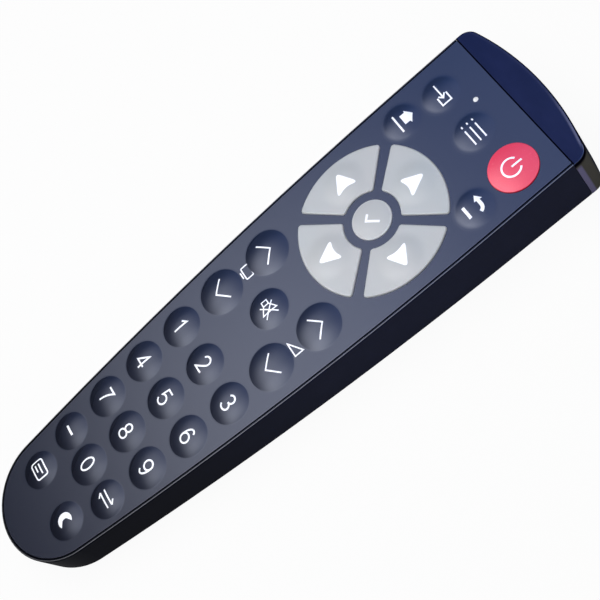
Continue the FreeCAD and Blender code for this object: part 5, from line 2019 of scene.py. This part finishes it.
@dataclass
class Studio:
    """Camera, lamp, cards, pale floor and the white surround.

    Attributes:
        eye: the camera's place, in deck millimetres.
        view: direction in which it looks, on the deck.
        upward: direction of the picture's upper edge.
        lens: focal length of the lens, in millimetres.
        sensor: width of the sensor, in millimetres.
        clip: nearest and farthest distance that the camera sees, in metres.
        floor_size: side of the floor, in metres.
        floor_drop: how far it lies under the object, in metres.
        paper: two tones of the floor.
        fibres: pattern in which they mix.
        floor_white: share of plain white that the camera sees in it.
        sky: colour of the light from all sides.
        sky_glow: its strength.
    """

    eye: Triple = (209.10, 27.58, 318.98)
    view: Triple = (-0.5332, -0.1530, -0.8320)
    upward: Triple = (-0.6921, 0.6445, 0.3251)
    lens: float = 78.56
    sensor: float = 36.0
    clip: Pair = (0.01, 20.0)
    floor_size: float = 6.0
    floor_drop: float = 0.00005
    paper: tuple[Color, Color] = ((0.80, 0.80, 0.81), (0.83, 0.83, 0.83))
    fibres: Pattern = Pattern(2.0, 3.0)
    floor_white: float = 0.94
    sky: Color = (0.95, 0.98, 1.0)
    sky_glow: float = 0.25

    def camera(self) -> None:
        """Stand the camera where the photograph was taken from."""
        forward = DECK.turn(self.view).normalized()
        right = forward.cross(DECK.turn(self.upward)).normalized()
        upright = right.cross(forward)
        data = bpy.data.cameras.new("camera")
        data.lens, data.sensor_width, data.sensor_fit = self.lens, self.sensor, "HORIZONTAL"
        data.clip_start, data.clip_end = self.clip
        camera = bpy.data.objects.new("camera", data)
        bpy.context.scene.collection.objects.link(camera)
        turn = Matrix((right, upright, -forward)).transposed().to_4x4()
        camera.matrix_world = Matrix.Translation(Vector(DECK.place(np.array(self.eye)))) @ turn
        bpy.context.scene.camera = camera

    def floor(self) -> None:
        """Lay a pale floor, white to the camera but for the shadow, and clear from below."""
        half, level = self.floor_size / 2, -self.floor_drop
        corners = np.array([[-half, -half, level], [half, -half, level], [half, half, level], [-half, half, level]])
        floor = new_mesh("floor", corners, np.array([[0, 1, 2, 3]]), [])
        shader = Shader("floor_paper")
        shader.set(Base_Color=shader.mix(shader.noise(self.fibres), *self.paper), Roughness=0.9)
        shader.set(Specular_IOR_Level=0.1)
        paper = Wire(shader, shader.principled.outputs[0])
        glow = shader.node("ShaderNodeEmission", {}, {"Color": (1.0, 1.0, 1.0), "Strength": 1.0})
        clear = shader.node("ShaderNodeBsdfTransparent", {}, {})
        below = shader.node("ShaderNodeNewGeometry", {}, {}, "Backfacing")
        share = self.seen(shader) * self.floor_white
        above = shader.node("ShaderNodeMixShader", {}, {0: share, 1: paper, 2: glow})
        shader.surface(shader.node("ShaderNodeMixShader", {}, {0: below, 1: above, 2: clear}))
        floor.data.materials.append(shader.owner)

    def seen(self, shader: Shader) -> Wire:
        """Tell rays that the camera sees, also in a mirror or through a window, from others.

        Args:
            shader: the nodes of the floor or the world.

        Returns:
            1 for such rays, otherwise 0.
        """
        kinds = ("Is Camera Ray", "Is Glossy Ray", "Is Transmission Ray")
        camera, mirror, window = (shader.node("ShaderNodeLightPath", {}, {}, kind) for kind in kinds)
        return (camera + mirror + window).clamped()

    def world(self) -> None:
        """A dim surround for light, and a white one for the camera."""
        shader = Shader("surround", "worlds")
        shader.tree.nodes.remove(shader.tree.nodes["Background"])
        dim = shader.node("ShaderNodeBackground", {}, {"Color": self.sky, "Strength": self.sky_glow})
        white = shader.node("ShaderNodeBackground", {}, {"Color": (1.0, 1.0, 1.0), "Strength": 1.0})
        shader.surface(shader.node("ShaderNodeMixShader", {}, {0: self.seen(shader), 1: dim, 2: white}))
        bpy.context.scene.world = shader.owner

    def build(self) -> None:
        """Set up the whole studio."""
        self.camera()
        self.floor()
        self.world()
        Softbox().build()
        SheenCard().build()
        DuskFlag().build()
        bpy.context.scene.view_settings.view_transform = "Standard"
        LOG.info("studio ready")


def main() -> None:
    """Build the remote control."""
    logging.basicConfig(level=logging.INFO)
    Construction().dress()
    Keypad().build()
    FacePrint().build()
    IndicatorLens().build()
    Studio().build()


if __name__ == "__main__":
    main()
